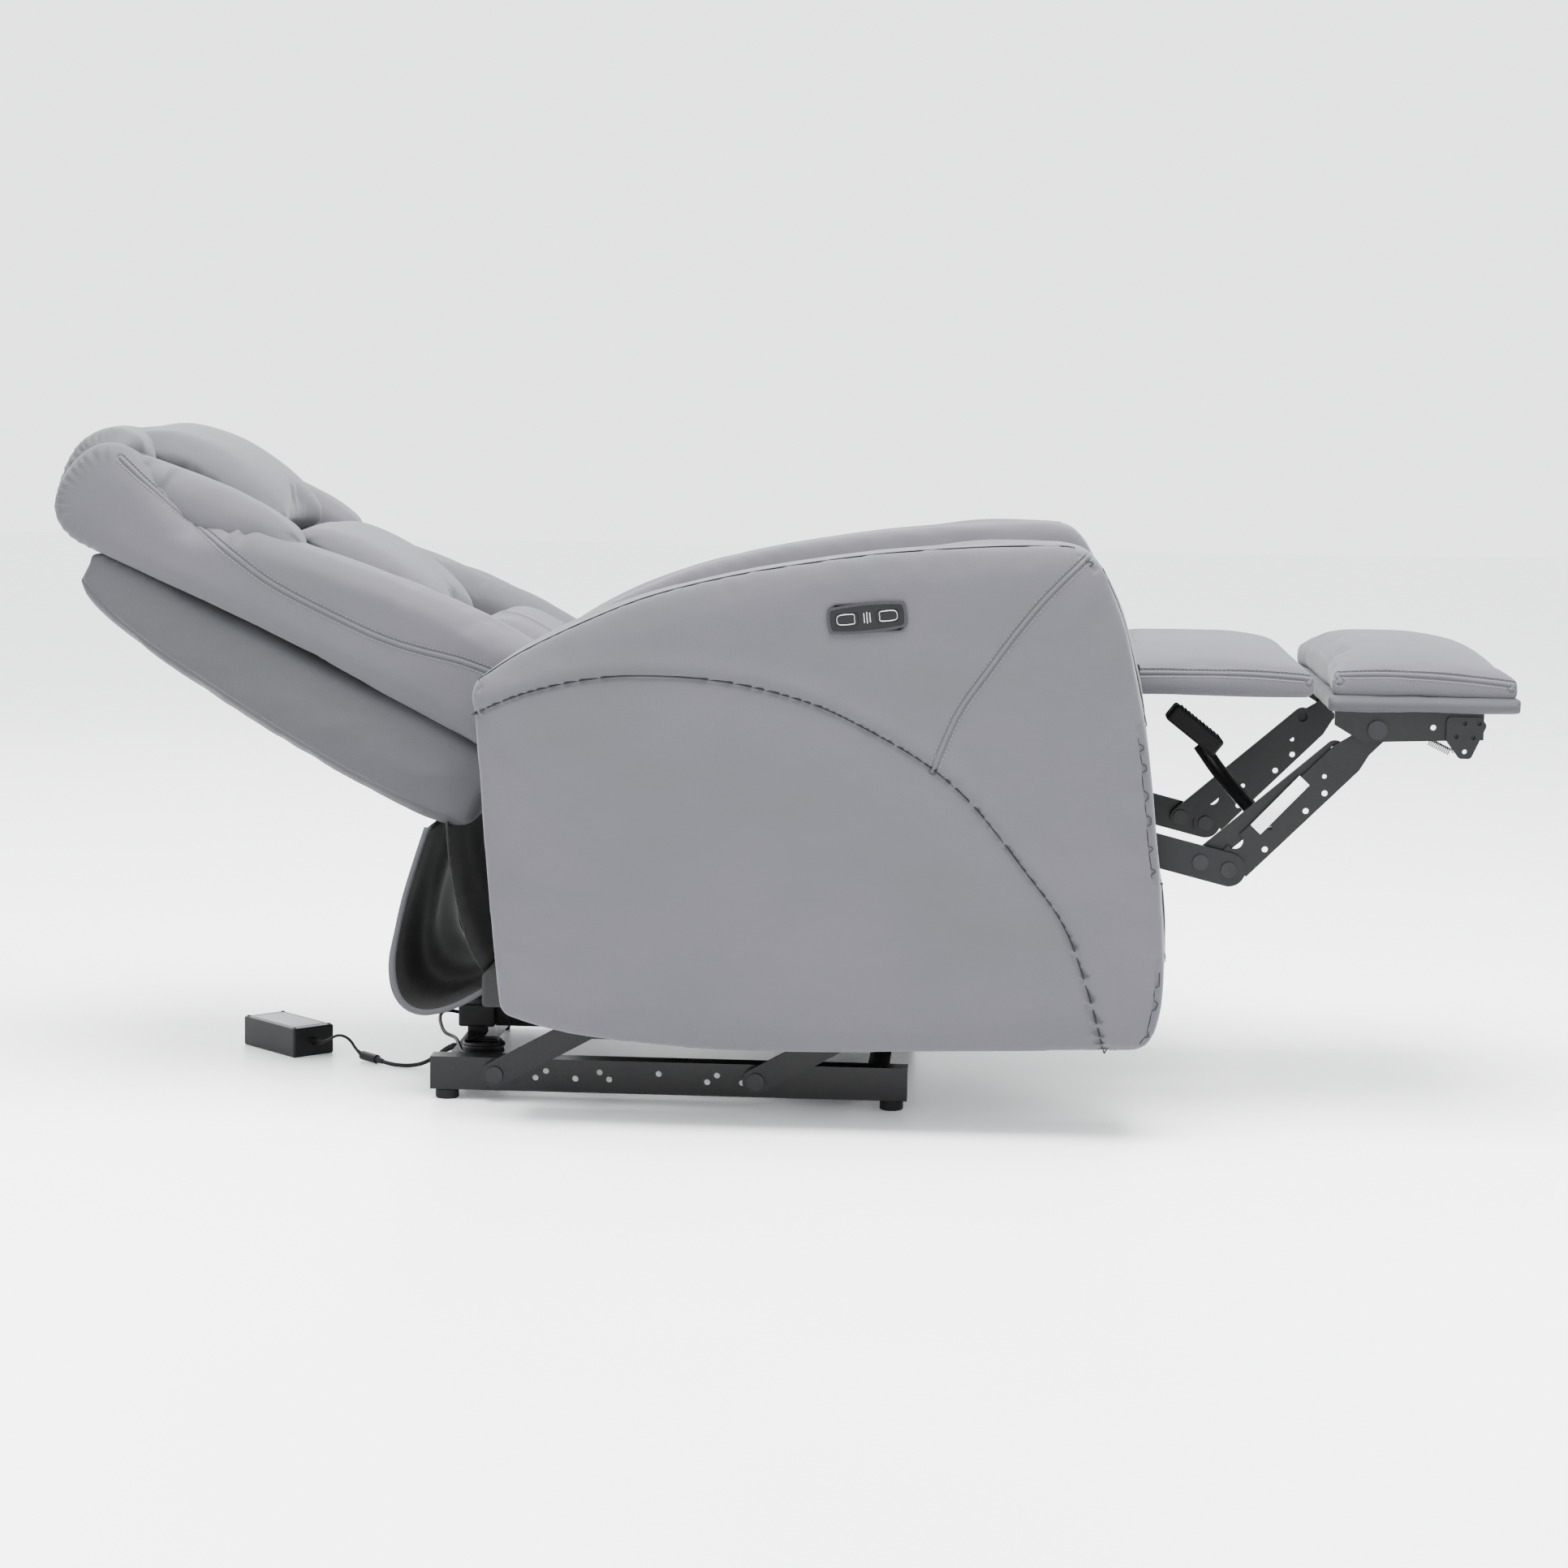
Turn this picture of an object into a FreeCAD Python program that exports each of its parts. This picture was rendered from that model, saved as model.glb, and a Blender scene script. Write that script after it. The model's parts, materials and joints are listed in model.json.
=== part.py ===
import FreeCAD, Part
import math
import os

# Power recliner armchair, stored with the back reclined and the footrest out.
#
# Frame: +X to the front, +Y to the sitter's left, +Z up, millimetres. The origin
# is on the floor, in the middle of the reclined chair's length and width.
# The switch is on the sitter's right arm, which is the arm at -Y.

V = FreeCAD.Vector

# ---------------------------------------------------------------- widths (Y)
INNER_WIDTH = 504.0        # clear width between the arms
ARM_WIDTH = 123.0          # one arm, outside to inside
ARM_FRAME_T = 34.0         # plywood box panel inside an arm
ARM_OUTER_PAD_T = 45.0     # padding between that panel and the outer cover
SIDE_BOARD_T = 26.0        # wooden side board of the seat box
PLATE_T = 4.0              # steel side plates and links
PLATE_GAP = 6.0            # side plate to first link, room for rivet heads
LINK_GAP = 1.5             # between neighbouring links
BACK_GAP = 8.0             # side of the back to the arm
PAD_GAP = 19.0             # side of the two leg pads to the arm

# ---------------------------------------------------------------- fits
PIN_CLEARANCE = 0.05       # radial, pin turning in a hole
HEAD_GAP = 0.3             # rivet head to the link that turns under it
SLIDE_CLEARANCE = 0.4      # slider on its rail, button in its guide
NOTCH_CLEARANCE = 4.0      # folded upper link to the second rivet
HEAD_T = 3.0               # rivet and bolt heads
RIVET_R = 5.0
RIVET_HEAD_R = 9.0
BOLT_R = 6.0
BOLT_HEAD_R = 10.0

# ---------------------------------------------------------------- arms
ARM_REAR_X = -338.0
ARM_FRONT_X = 444.0
ARM_TOP_Z = 666.0
ARM_REAR_TOP_Z = 493.0
ARM_BOTTOM_Z = 81.0
ARM_EDGE_R = 9.0           # rounding of the padded edges

# ---------------------------------------------------------------- base
RAIL_REAR_X = -396.0
RAIL_FRONT_X = 153.0
RAIL_BOTTOM_Z = 12.0
RAIL_TOP_Z = 50.0
RAIL_FLANGE = 28.0
RAIL_T = 3.0
CROSS_TUBE = 25.0          # square tube between the rails
CROSS_REAR_X = -372.0
CROSS_FRONT_X = 118.0
CROSS_WALL = 2.0
FOOT_R = 13.5
FOOT_INSET_X = 18.0        # foot centre from the end of the rail
RAIL_HOLE_R = 3.5
RAIL_HOLE_X = (-274, -262, -228, -200, -189, -132, -76, -65, -36, -2)

# ---------------------------------------------------------------- swing links
SWING_LENGTH = 130.0
SWING_REST_DEG = 29.0      # above the horizontal, leaning forwards
SWING_BASE_Z = 32.0
SWING_REAR_X = -320.0
SWING_FRONT_X = -20.0
SWING_WIDTH = 30.0

# ---------------------------------------------------------------- leg pads
PAD_TOP_Z = 542.0
PAD_BOTTOM_Z = PAD_TOP_Z - 59.0
MID_PIVOT = (390.0, PAD_TOP_Z - 37.0)
MID_REAR_X = 370.0
MID_FRONT_X = 608.0
MID_BOARD_T = 12.0
FOOT_REAR_X = 612.0
FOOT_FRONT_X = 832.0
FOOT_BOARD_BOTTOM_Z = PAD_TOP_Z - 73.0
FOOT_BOARD_T = 16.0
BRACKET_FLANGE_T = 4.0

# ---------------------------------------------------------------- footrest linkage
ELBOW = (511.0, 286.0)     # lower link to upper link
KNEE = (672.0, FOOT_BOARD_BOTTOM_Z - 21.0)  # upper link to footrest bracket
LOWER_LENGTH = 235.0
LOWER_REST_DEG = -14.0
LOWER_WIDTH = 38.0
UPPER_WIDTH = 40.0
PARALLEL_SETBACK = 33.0    # second link's pivot, behind the elbow
PARALLEL_LENGTH = 196.0
PARALLEL_REST_DEG = 41.0
PARALLEL_WIDTH = 24.0
FOLDED_ELBOW_DEG = 33.2    # between the two links when the footrest is in
TORQUE_R = 12.5
TORQUE_BORE_R = 10.5
CRANK_LENGTH = 60.0
CRANK_REST_DEG = -45.0

BUMPER_TUBE_R = 9.0
BUMPER_PAD = (72.0, 42.0, 22.0)
BUMPER_PAD_TILT_DEG = 38.0
BUMPER_Y = -52.0

# ---------------------------------------------------------------- seat
SEAT_REAR_X = -131.0
SEAT_FRONT_X = 343.0
SEAT_BOTTOM_Z = 442.0
SEAT_TOP_FRONT_Z = 536.0
SEAT_TOP_REAR_Z = 503.0
BOARD_BOTTOM_Z = 385.0
BOARD_TOP_Z = 440.0
SEAT_RAIL_T = 25.0
SPRING_WIRE_R = 1.8
SPRING_COUNT = 5

# ---------------------------------------------------------------- back
BACK_PIVOT = (-225.0, 395.0)
BACK_SLOPE_DEG = 26.7      # reclined back above the horizontal
BACK_SPLIT_DEPTH = 55.0    # pivot to the joint between cushion and shell
BACK_END_R = 84.0          # round lower end of the back, about the pivot
CORE_UP = 30.0             # top of the foam core above the pivot
FRAME_T = 12.0             # steel ladder frame along that joint
FRAME_BAR = 30.0
FRAME_ENDS = (60.0, 595.0) # along the back, from the pivot
WING_WIDTH = 94.0          # side bolster
HEAD_PILLOW = ((426, 86), (450, 112), (486, 128), (545, 134), (597, 122))
LUMBAR_PILLOW = ((205, 78), (238, 101), (288, 119), (344, 123), (400, 98), (425, 76))

# ---------------------------------------------------------------- switch
SWITCH_X = 103.0
SWITCH_Z = 574.0
SWITCH_TILT_DEG = 6.5
SWITCH_LENGTH = 84.0
SWITCH_HEIGHT = 33.0
SWITCH_DEPTH = 24.0
SWITCH_PROUD = 2.5
BEZEL_W = 3.0
BUTTON_LENGTH = 24.0
BUTTON_HEIGHT = 13.0
BUTTON_OFFSET = 22.0
BUTTON_DEPTH = 9.0
BUTTON_TRAVEL = 1.5

# ---------------------------------------------------------------- drive and wiring
RAIL_GAP_Z = 8.0           # cross tube to screw rail
SCREW_RAIL_W = 34.0
SCREW_RAIL_H = 28.0
SCREW_RAIL_T = 2.5
GEARBOX = (44.0, 60.0, 28.0)
MOTOR_R = 21.0
MOTOR_LENGTH = 82.0
SLIDER_LENGTH = 46.0
ADAPTER = (112.0, 58.0, 36.0)
ADAPTER_CENTRE = (-617.0, 48.0)
ADAPTER_TURN_DEG = -45.0
THIN_LEAD_R = 1.75
LEAD_R = 2.5

# ---------------------------------------------------------------- derived levels
ARM_IN = INNER_WIDTH / 2
ARM_OUT = ARM_IN + ARM_WIDTH
BOARD_IN = ARM_IN - SIDE_BOARD_T
PLATE = (BOARD_IN - PLATE_T, BOARD_IN)
LOWER = (PLATE[0] - PLATE_GAP - PLATE_T, PLATE[0] - PLATE_GAP)
UPPER = (LOWER[0] - LINK_GAP - PLATE_T, LOWER[0] - LINK_GAP)
PARALLEL = (UPPER[0] - LINK_GAP - PLATE_T, UPPER[0] - LINK_GAP)
SWING = (PLATE[1] + PLATE_GAP, PLATE[1] + PLATE_GAP + PLATE_T)
RAIL_WEB = (PLATE[1] - RAIL_T, PLATE[1])
BACK_HALF = ARM_IN - BACK_GAP
PAD_HALF = ARM_IN - PAD_GAP


# ---------------------------------------------------------------- helpers
def box(x, y, z):
    """Block between pairs of coordinates."""
    return Part.makeBox(x[1] - x[0], y[1] - y[0], z[1] - z[0], V(x[0], y[0], z[0]))


def rod_y(x, z, r, y):
    """Cylinder along Y."""
    return Part.makeCylinder(r, y[1] - y[0], V(x, y[0], z), V(0, 1, 0))


def mirrored(shape):
    """The same piece on the other side of the chair."""
    return shape.mirror(V(0, 0, 0), V(0, 1, 0))


def both(shape):
    """One piece on each side, as separate solids."""
    return Part.makeCompound(shape.Solids + mirrored(shape).Solids)


def group(*shapes):
    """Separate solids in one node."""
    solids = []
    for shape in shapes:
        solids += shape.Solids
    return Part.makeCompound(solids)


def polar(start, length, degrees):
    """Point at a distance and angle from another, in the XZ plane."""
    a = math.radians(degrees)
    return (start[0] + length * math.cos(a), start[1] + length * math.sin(a))


def face_xz(points, y=0.0):
    """Flat face through straight-sided corners at one Y."""
    corners = [V(x, y, z) for x, z in points]
    return Part.Face(Part.makePolygon(corners + corners[:1]))


def plate_xz(points, y, radius=0.0):
    """Plate with straight sides and rounded corners, thick along Y."""
    slab = face_xz(points, y[0]).extrude(V(0, y[1] - y[0], 0))
    if radius:
        ends = [e for e in slab.Edges if abs(e.tangentAt(e.FirstParameter).y) > 0.99]
        slab = slab.makeFillet(radius, ends)
    return slab


def curve(points):
    """Smooth edge through points in the XZ plane."""
    spline = Part.BSplineCurve()
    spline.interpolate([V(x, 0, z) for x, z in points])
    return spline.toShape()


def line(a, b):
    return Part.makeLine(V(a[0], 0, a[1]), V(b[0], 0, b[1]))


def slab_from(edges, y):
    """Solid between two Y levels from a closed run of XZ edges."""
    face = Part.Face(Part.Wire(edges))
    face.translate(V(0, y[0], 0))
    return face.extrude(V(0, y[1] - y[0], 0))


def link(a, b, width, y, holes=()):
    """Flat link with round ends about two pivots. holes are (point, radius)."""
    length = math.dist(a, b)
    degrees = math.degrees(math.atan2(b[1] - a[1], b[0] - a[0]))
    bar = box((0, length), y, (-width / 2, width / 2))
    bar = bar.fuse(rod_y(0, 0, width / 2, y)).fuse(rod_y(length, 0, width / 2, y))
    bar = bar.removeSplitter()
    bar.rotate(V(0, 0, 0), V(0, 1, 0), -degrees)
    bar.translate(V(a[0], 0, a[1]))
    for point, radius in holes:
        bar = bar.cut(rod_y(point[0], point[1], radius, (y[0] - 1, y[1] + 1)))
    return bar


def rivet(point, y, r=RIVET_R, head=RIVET_HEAD_R, heads=(True, True)):
    """Shank between two Y levels with a low round head on either end."""
    shape = rod_y(point[0], point[1], r, y)
    if heads[0]:
        shape = shape.fuse(rod_y(point[0], point[1], head, (y[0] - HEAD_T, y[0])))
    if heads[1]:
        shape = shape.fuse(rod_y(point[0], point[1], head, (y[1], y[1] + HEAD_T)))
    return shape.removeSplitter()


def soft(shape, radius):
    """Round every edge of a cushion."""
    return shape.makeFillet(radius, shape.Edges)


def fillet_path(points, name):
    """Straight runs joined by tangent arcs, as large as the runs allow."""
    edges = []
    radii = []
    here = V(*points[0])
    for i in range(1, len(points) - 1):
        before, corner, after = (V(*points[k]) for k in (i - 1, i, i + 1))
        u, w = (before - corner), (after - corner)
        shorter = min(u.Length, w.Length)
        u.normalize()
        w.normalize()
        turn = math.pi - u.getAngle(w)
        setback = 0.45 * shorter
        radii.append(setback / math.tan(turn / 2))
        a, b = corner + u * setback, corner + w * setback
        bisector = (u + w).normalize()
        centre = corner + bisector * math.hypot(setback, radii[-1])
        middle = centre - bisector * radii[-1]
        edges.append(Part.LineSegment(here, a).toShape())
        edges.append(Part.Arc(a, middle, b).toShape())
        here = b
    edges.append(Part.LineSegment(here, V(*points[-1])).toShape())
    print(name, "bend radii", [round(r, 1) for r in radii])
    return Part.Wire(edges)


def tube_along(points, radius, name):
    """Round cord along a route; prints its length and checks its volume."""
    path = fillet_path(points, name)
    direction = V(*points[1]) - V(*points[0])
    section = Part.Wire(Part.makeCircle(radius, V(*points[0]), direction))
    tube = path.makePipeShell([section], True, False)
    ratio = tube.Volume / (math.pi * radius ** 2 * path.Length)
    print(name, "length", round(path.Length, 1), "volume ratio", round(ratio, 4))
    return tube


# ---------------------------------------------------------------- base
SWING_REAR = (SWING_REAR_X, SWING_BASE_Z)
SWING_FRONT = (SWING_FRONT_X, SWING_BASE_Z)
CROSS_Z = (RAIL_BOTTOM_Z + RAIL_T, RAIL_BOTTOM_Z + RAIL_T + CROSS_TUBE)
SCREW_RAIL_Z = (CROSS_Z[1] + RAIL_GAP_Z, CROSS_Z[1] + RAIL_GAP_Z + SCREW_RAIL_H)
GEARBOX_X = (CROSS_REAR_X - GEARBOX[0] / 2, CROSS_REAR_X + GEARBOX[0] / 2)


def base_rails():
    """Pressed channels, open inwards, with a plate closing each front end."""
    x = (RAIL_REAR_X, RAIL_FRONT_X)
    y = (RAIL_WEB[1] - RAIL_FLANGE, RAIL_WEB[1])
    rail = box(x, y, (RAIL_BOTTOM_Z, RAIL_TOP_Z))
    inside = (RAIL_BOTTOM_Z + RAIL_T, RAIL_TOP_Z - RAIL_T)
    rail = rail.cut(box((x[0] - 1, x[1] - RAIL_T), (y[0] - 1, RAIL_WEB[0]), inside))
    middle = (RAIL_BOTTOM_Z + RAIL_TOP_Z) / 2
    for i, hole_x in enumerate(RAIL_HOLE_X):
        hole_z = middle + (5 if i % 2 else -3)
        rail = rail.cut(rod_y(hole_x, hole_z, RAIL_HOLE_R, (RAIL_WEB[0] - 1, RAIL_WEB[1] + 1)))
    for pivot in (SWING_REAR, SWING_FRONT):
        rail = rail.cut(rod_y(*pivot, BOLT_R, (RAIL_WEB[0] - 1, RAIL_WEB[1] + 1)))
    return both(rail)


def base_cross_tubes():
    """Square tubes between the rail webs, each with a saddle for the drive."""
    tubes = []
    half = CROSS_TUBE / 2
    for x in (CROSS_REAR_X, CROSS_FRONT_X):
        y = (-RAIL_WEB[0], RAIL_WEB[0])
        tube = box((x - half, x + half), y, CROSS_Z)
        hollow = box(
            (x - half + CROSS_WALL, x + half - CROSS_WALL),
            (y[0] - 1, y[1] + 1),
            (CROSS_Z[0] + CROSS_WALL, CROSS_Z[1] - CROSS_WALL),
        )
        side = SCREW_RAIL_W / 2
        saddle = box((x - half, x + half), (-side, side), (CROSS_Z[1], SCREW_RAIL_Z[0]))
        tubes.append(tube.cut(hollow).fuse(saddle).removeSplitter())
    return group(*tubes)


def base_feet():
    """Round screw-in feet under the rail ends."""
    y = RAIL_WEB[1] - RAIL_FLANGE / 2
    feet = []
    for x in (RAIL_REAR_X + FOOT_INSET_X, RAIL_FRONT_X - FOOT_INSET_X):
        foot = Part.makeCylinder(FOOT_R, RAIL_BOTTOM_Z, V(x, y, 0))
        feet.append(foot.makeFillet(2.0, [foot.Edges[0], foot.Edges[2]]))
    return both(group(*feet))


def swing_base_pins():
    """Shoulder bolts that carry the swing links on the rails."""
    pins = []
    for pivot in (SWING_REAR, SWING_FRONT):
        y = (RAIL_WEB[0], SWING[1] + HEAD_GAP)
        pin = rivet(pivot, y, BOLT_R, BOLT_HEAD_R)
        collar = rod_y(*pivot, BOLT_HEAD_R, (RAIL_WEB[1], SWING[0] - HEAD_GAP))
        pins.append(pin.fuse(collar).removeSplitter())
    return both(group(*pins))


def drive_gearbox():
    """Gear housing at the rear of the screw rail."""
    y = (-GEARBOX[1] / 2, GEARBOX[1] / 2)
    z = (SCREW_RAIL_Z[0], SCREW_RAIL_Z[0] + GEARBOX[2])
    return soft(box(GEARBOX_X, y, z), 3.0)


def drive_motor():
    """Motor can beside the gearbox."""
    x = (GEARBOX_X[0] + GEARBOX_X[1]) / 2
    z = SCREW_RAIL_Z[0] + MOTOR_R - 8
    can = rod_y(x, z, MOTOR_R, (GEARBOX[1] / 2, GEARBOX[1] / 2 + MOTOR_LENGTH))
    return can.makeFillet(3.0, [can.Edges[0], can.Edges[2]])


def screw_rail():
    """Closed rail that holds the lead screw."""
    x = (GEARBOX_X[1], CROSS_FRONT_X + CROSS_TUBE / 2)
    y = (-SCREW_RAIL_W / 2, SCREW_RAIL_W / 2)
    rail = box(x, y, SCREW_RAIL_Z)
    t = SCREW_RAIL_T
    hollow = box(
        (x[0] - 1, x[1] - t),
        (y[0] + t, y[1] - t),
        (SCREW_RAIL_Z[0] + t, SCREW_RAIL_Z[1] - t),
    )
    return rail.cut(hollow)


def drive_slider():
    """Block that the screw pushes along the outside of the rail."""
    x = (CROSS_FRONT_X - CROSS_TUBE - SLIDER_LENGTH, CROSS_FRONT_X - CROSS_TUBE)
    wall = 7.0
    c = SLIDE_CLEARANCE
    y = SCREW_RAIL_W / 2
    block = box(x, (-y - wall, y + wall), (SCREW_RAIL_Z[0] - 5.0, SCREW_RAIL_Z[1] + wall))
    tunnel = box((x[0] - 1, x[1] + 1), (-y - c, y + c), (SCREW_RAIL_Z[0] - c, SCREW_RAIL_Z[1] + c))
    mouth = box((x[0] - 1, x[1] + 1), (-y + 6, y - 6), (SCREW_RAIL_Z[0] - 6, SCREW_RAIL_Z[0]))
    return block.cut(tunnel).cut(mouth)


# ---------------------------------------------------------------- swing links
def swing_tip(base_pivot):
    return polar(base_pivot, SWING_LENGTH, SWING_REST_DEG)


def swing_links(base_pivot):
    tip = swing_tip(base_pivot)
    r = BOLT_R + PIN_CLEARANCE
    return both(link(base_pivot, tip, SWING_WIDTH, SWING, ((base_pivot, r), (tip, r))))


# ---------------------------------------------------------------- seat box
DRIVE_PIVOT = polar(ELBOW, -LOWER_LENGTH, LOWER_REST_DEG)


def side_plates():
    """Steel plates that carry every pivot of the moving upper part."""
    rear, front = swing_tip(SWING_REAR), swing_tip(SWING_FRONT)
    edge = 22.0
    outline = [
        (rear[0] - edge, rear[1] - edge + 2),
        (front[0] + edge, front[1] - edge + 2),
        (DRIVE_PIVOT[0] + edge, DRIVE_PIVOT[1] - edge),
        (DRIVE_PIVOT[0] + edge, DRIVE_PIVOT[1] + edge),
        (DRIVE_PIVOT[0] - edge / 2, BOARD_BOTTOM_Z + 4),
        (BACK_PIVOT[0] + 2 * edge, BOARD_BOTTOM_Z + 4),
        (BACK_PIVOT[0] + edge, BACK_PIVOT[1] + edge),
        (BACK_PIVOT[0] - edge, BACK_PIVOT[1] + edge),
        (BACK_PIVOT[0] - edge, BACK_PIVOT[1] - edge),
    ]
    plate = plate_xz(outline, PLATE, 8.0)
    for pivot in (rear, front, DRIVE_PIVOT, BACK_PIVOT):
        plate = plate.cut(rod_y(*pivot, BOLT_R, (PLATE[0] - 1, PLATE[1] + 1)))
    return both(plate)


def mechanism_bolts():
    """Shoulder bolts in the side plates: swing links, torque tube, back."""
    bolts = []
    for pivot in (SWING_REAR, SWING_FRONT):
        tip = swing_tip(pivot)
        bolt = rivet(tip, (PLATE[0], SWING[1] + HEAD_GAP), BOLT_R, BOLT_HEAD_R)
        collar = rod_y(*tip, BOLT_HEAD_R, (PLATE[1], SWING[0] - HEAD_GAP))
        bolts.append(bolt.fuse(collar).removeSplitter())
    for pivot in (DRIVE_PIVOT, BACK_PIVOT):
        inner = LOWER[0] - HEAD_GAP
        head = TORQUE_BORE_R - 1.0
        bolt = rivet(pivot, (inner, PLATE[1]), BOLT_R, head, (True, False))
        collar = rod_y(*pivot, head, (LOWER[1] + HEAD_GAP, PLATE[0]))
        bolts.append(bolt.fuse(collar).removeSplitter())
    return both(group(*bolts))


def hinge_bracket_profile():
    """Ear that carries the middle pad's pivot, from inside the side board."""
    x, z = MID_PIVOT
    r = 14.0
    root_z = BOARD_TOP_Z - 3
    return [
        (SEAT_FRONT_X - 28, root_z - 32),
        (SEAT_FRONT_X + 2, root_z - 39),
        (x + r, z - r),
        (x + r, z + r),
        (x - r, z + r),
        (x - 2 * r, z - 25),
        (SEAT_FRONT_X + 2, root_z),
        (SEAT_FRONT_X - 28, root_z),
    ]


MID_EAR = (PAD_HALF + 3.0, PAD_HALF + 3.0 + PLATE_T)


def mid_pad_brackets():
    """Ears let into the side boards, each with its welded pin."""
    ear = plate_xz(hinge_bracket_profile(), MID_EAR, 4.0)
    pin = rod_y(*MID_PIVOT, RIVET_R, (PAD_HALF - 2 * PLATE_T, MID_EAR[0]))
    return both(ear.fuse(pin))


def seat_side_boards():
    board = box(
        (SEAT_REAR_X, SEAT_FRONT_X),
        (BOARD_IN, ARM_IN),
        (BOARD_BOTTOM_Z, BOARD_TOP_Z),
    )
    return both(board.cut(plate_xz(hinge_bracket_profile(), MID_EAR, 4.0)))


def seat_frame_rails():
    """Front and rear rails of the seat box, and the low rail behind."""
    y = (-BOARD_IN, BOARD_IN)
    z = (BOARD_BOTTOM_Z + 5, BOARD_TOP_Z)
    front = box((SEAT_FRONT_X - SEAT_RAIL_T, SEAT_FRONT_X), y, z)
    rear = box((SEAT_REAR_X + 3, SEAT_REAR_X + 3 + SEAT_RAIL_T), y, z)
    low = box((-330.0, -306.0), (-ARM_IN, ARM_IN), (120.0, 146.0))
    return group(front, rear, low)


def seat_springs():
    """Zigzag wires from rail to rail."""
    start = SEAT_REAR_X + 3 + SEAT_RAIL_T
    end = SEAT_FRONT_X - SEAT_RAIL_T
    z = BOARD_TOP_Z - 12
    waves = 12
    pitch = (end - start) / waves
    points = [(start, 0, z), (start + 0.25 * pitch, 0, z)]
    for i in range(waves):
        side = 22 if i % 2 else -22
        points.append((start + (i + 0.25) * pitch, side, z))
        points.append((start + (i + 0.75) * pitch, side, z))
    points = [points[0]] + points[2:] + [(end, 0, z)]
    wire = tube_along(points, SPRING_WIRE_R, "seat_spring")
    step = (2 * BOARD_IN - 70) / (SPRING_COUNT - 1)
    springs = []
    for i in range(SPRING_COUNT):
        spring = wire.copy()
        spring.translate(V(0, -BOARD_IN + 35 + i * step, 0))
        springs.append(spring)
    return group(*springs)


def seat_cushion():
    """Crowned box cushion that slopes down to the back."""
    outline = [
        (SEAT_REAR_X, SEAT_BOTTOM_Z),
        (SEAT_FRONT_X, SEAT_BOTTOM_Z),
        (SEAT_FRONT_X, SEAT_TOP_FRONT_Z),
        (SEAT_REAR_X, SEAT_TOP_REAR_Z),
    ]
    half = ARM_IN - 2.0
    return soft(plate_xz(outline, (-half, half)), 14.0)


# ---------------------------------------------------------------- arms
def arm_edges():
    """Side outline of an arm."""
    top = curve([
        (ARM_REAR_X, ARM_REAR_TOP_Z),
        (-204.0, 576.0),
        (-46.0, 627.0),
        (120.0, 654.0),
        (280.0, ARM_TOP_Z),
        (348.0, ARM_TOP_Z - 11),
    ])
    front = curve([
        (348.0, ARM_TOP_Z - 11),
        (393.0, 566.0),
        (425.0, 405.0),
        (ARM_FRONT_X, 193.0),
        (434.0, 112.0),
        (415.0, 95.0),
    ])
    bottom = curve([
        (415.0, 95.0),
        (229.0, 87.0),
        (-20.0, ARM_BOTTOM_Z),
        (-164.0, 89.0),
        (-303.0, 117.0),
    ])
    rear = curve([(-303.0, 117.0), (-318.0, 236.0), (-331.0, 390.0), (ARM_REAR_X, ARM_REAR_TOP_Z)])
    return [top, front, bottom, rear]


ARM_FRAME_Y = (ARM_OUT - ARM_OUTER_PAD_T - ARM_FRAME_T, ARM_OUT - ARM_OUTER_PAD_T)


def arm_frame_outline():
    return [
        (-312.0, 470.0),
        (-190.0, 548.0),
        (120.0, 625.0),
        (330.0, 632.0),
        (388.0, 480.0),
        (418.0, 150.0),
        (400.0, 118.0),
        (-20.0, 104.0),
        (-285.0, 138.0),
    ]


def arm_frames():
    return both(plate_xz(arm_frame_outline(), ARM_FRAME_Y, 10.0))


def arm_outer_pad():
    """Padded outer skin of the left arm."""
    pad = slab_from(arm_edges(), (ARM_FRAME_Y[1], ARM_OUT))
    outer = [e for e in pad.Edges if min(v.Y for v in e.Vertexes) > ARM_OUT - 0.01]
    return pad.makeFillet(ARM_EDGE_R, outer)


def arm_inner_pad():
    pad = slab_from(arm_edges(), (ARM_IN, ARM_FRAME_Y[0]))
    inner = [e for e in pad.Edges if max(v.Y for v in e.Vertexes) < ARM_IN + 0.01]
    return pad.makeFillet(ARM_EDGE_R, inner)


# ---------------------------------------------------------------- switch
def on_switch(shape):
    """Moves a piece drawn about the switch's own centre to its place."""
    shape.rotate(V(0, 0, 0), V(0, 1, 0), -SWITCH_TILT_DEG)
    shape.translate(V(SWITCH_X, -ARM_OUT, SWITCH_Z))
    return shape


def barrel(length, height, y):
    """Rectangle with bowed sides, thick along Y."""
    x, z = length / 2, height / 2
    bow = 0.09 * height
    corners = [V(-x, y[0], -z + bow), V(x, y[0], -z + bow)]
    corners += [V(x, y[0], z - bow), V(-x, y[0], z - bow)]
    mids = [V(0, y[0], -z), V(x + bow / 2, y[0], 0)]
    mids += [V(0, y[0], z), V(-x - bow / 2, y[0], 0)]
    edges = []
    for i in range(4):
        edges.append(Part.Arc(corners[i], mids[i], corners[(i + 1) % 4]).toShape())
    solid = Part.Face(Part.Wire(edges)).extrude(V(0, y[1] - y[0], 0))
    ends = [e for e in solid.Edges if abs(e.tangentAt(e.FirstParameter).y) > 0.99]
    return solid.makeFillet(3.0, ends)


def switch_pocket():
    return on_switch(barrel(SWITCH_LENGTH - 2 * BEZEL_W, SWITCH_HEIGHT - 2 * BEZEL_W, (-5, SWITCH_DEPTH)))


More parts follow.
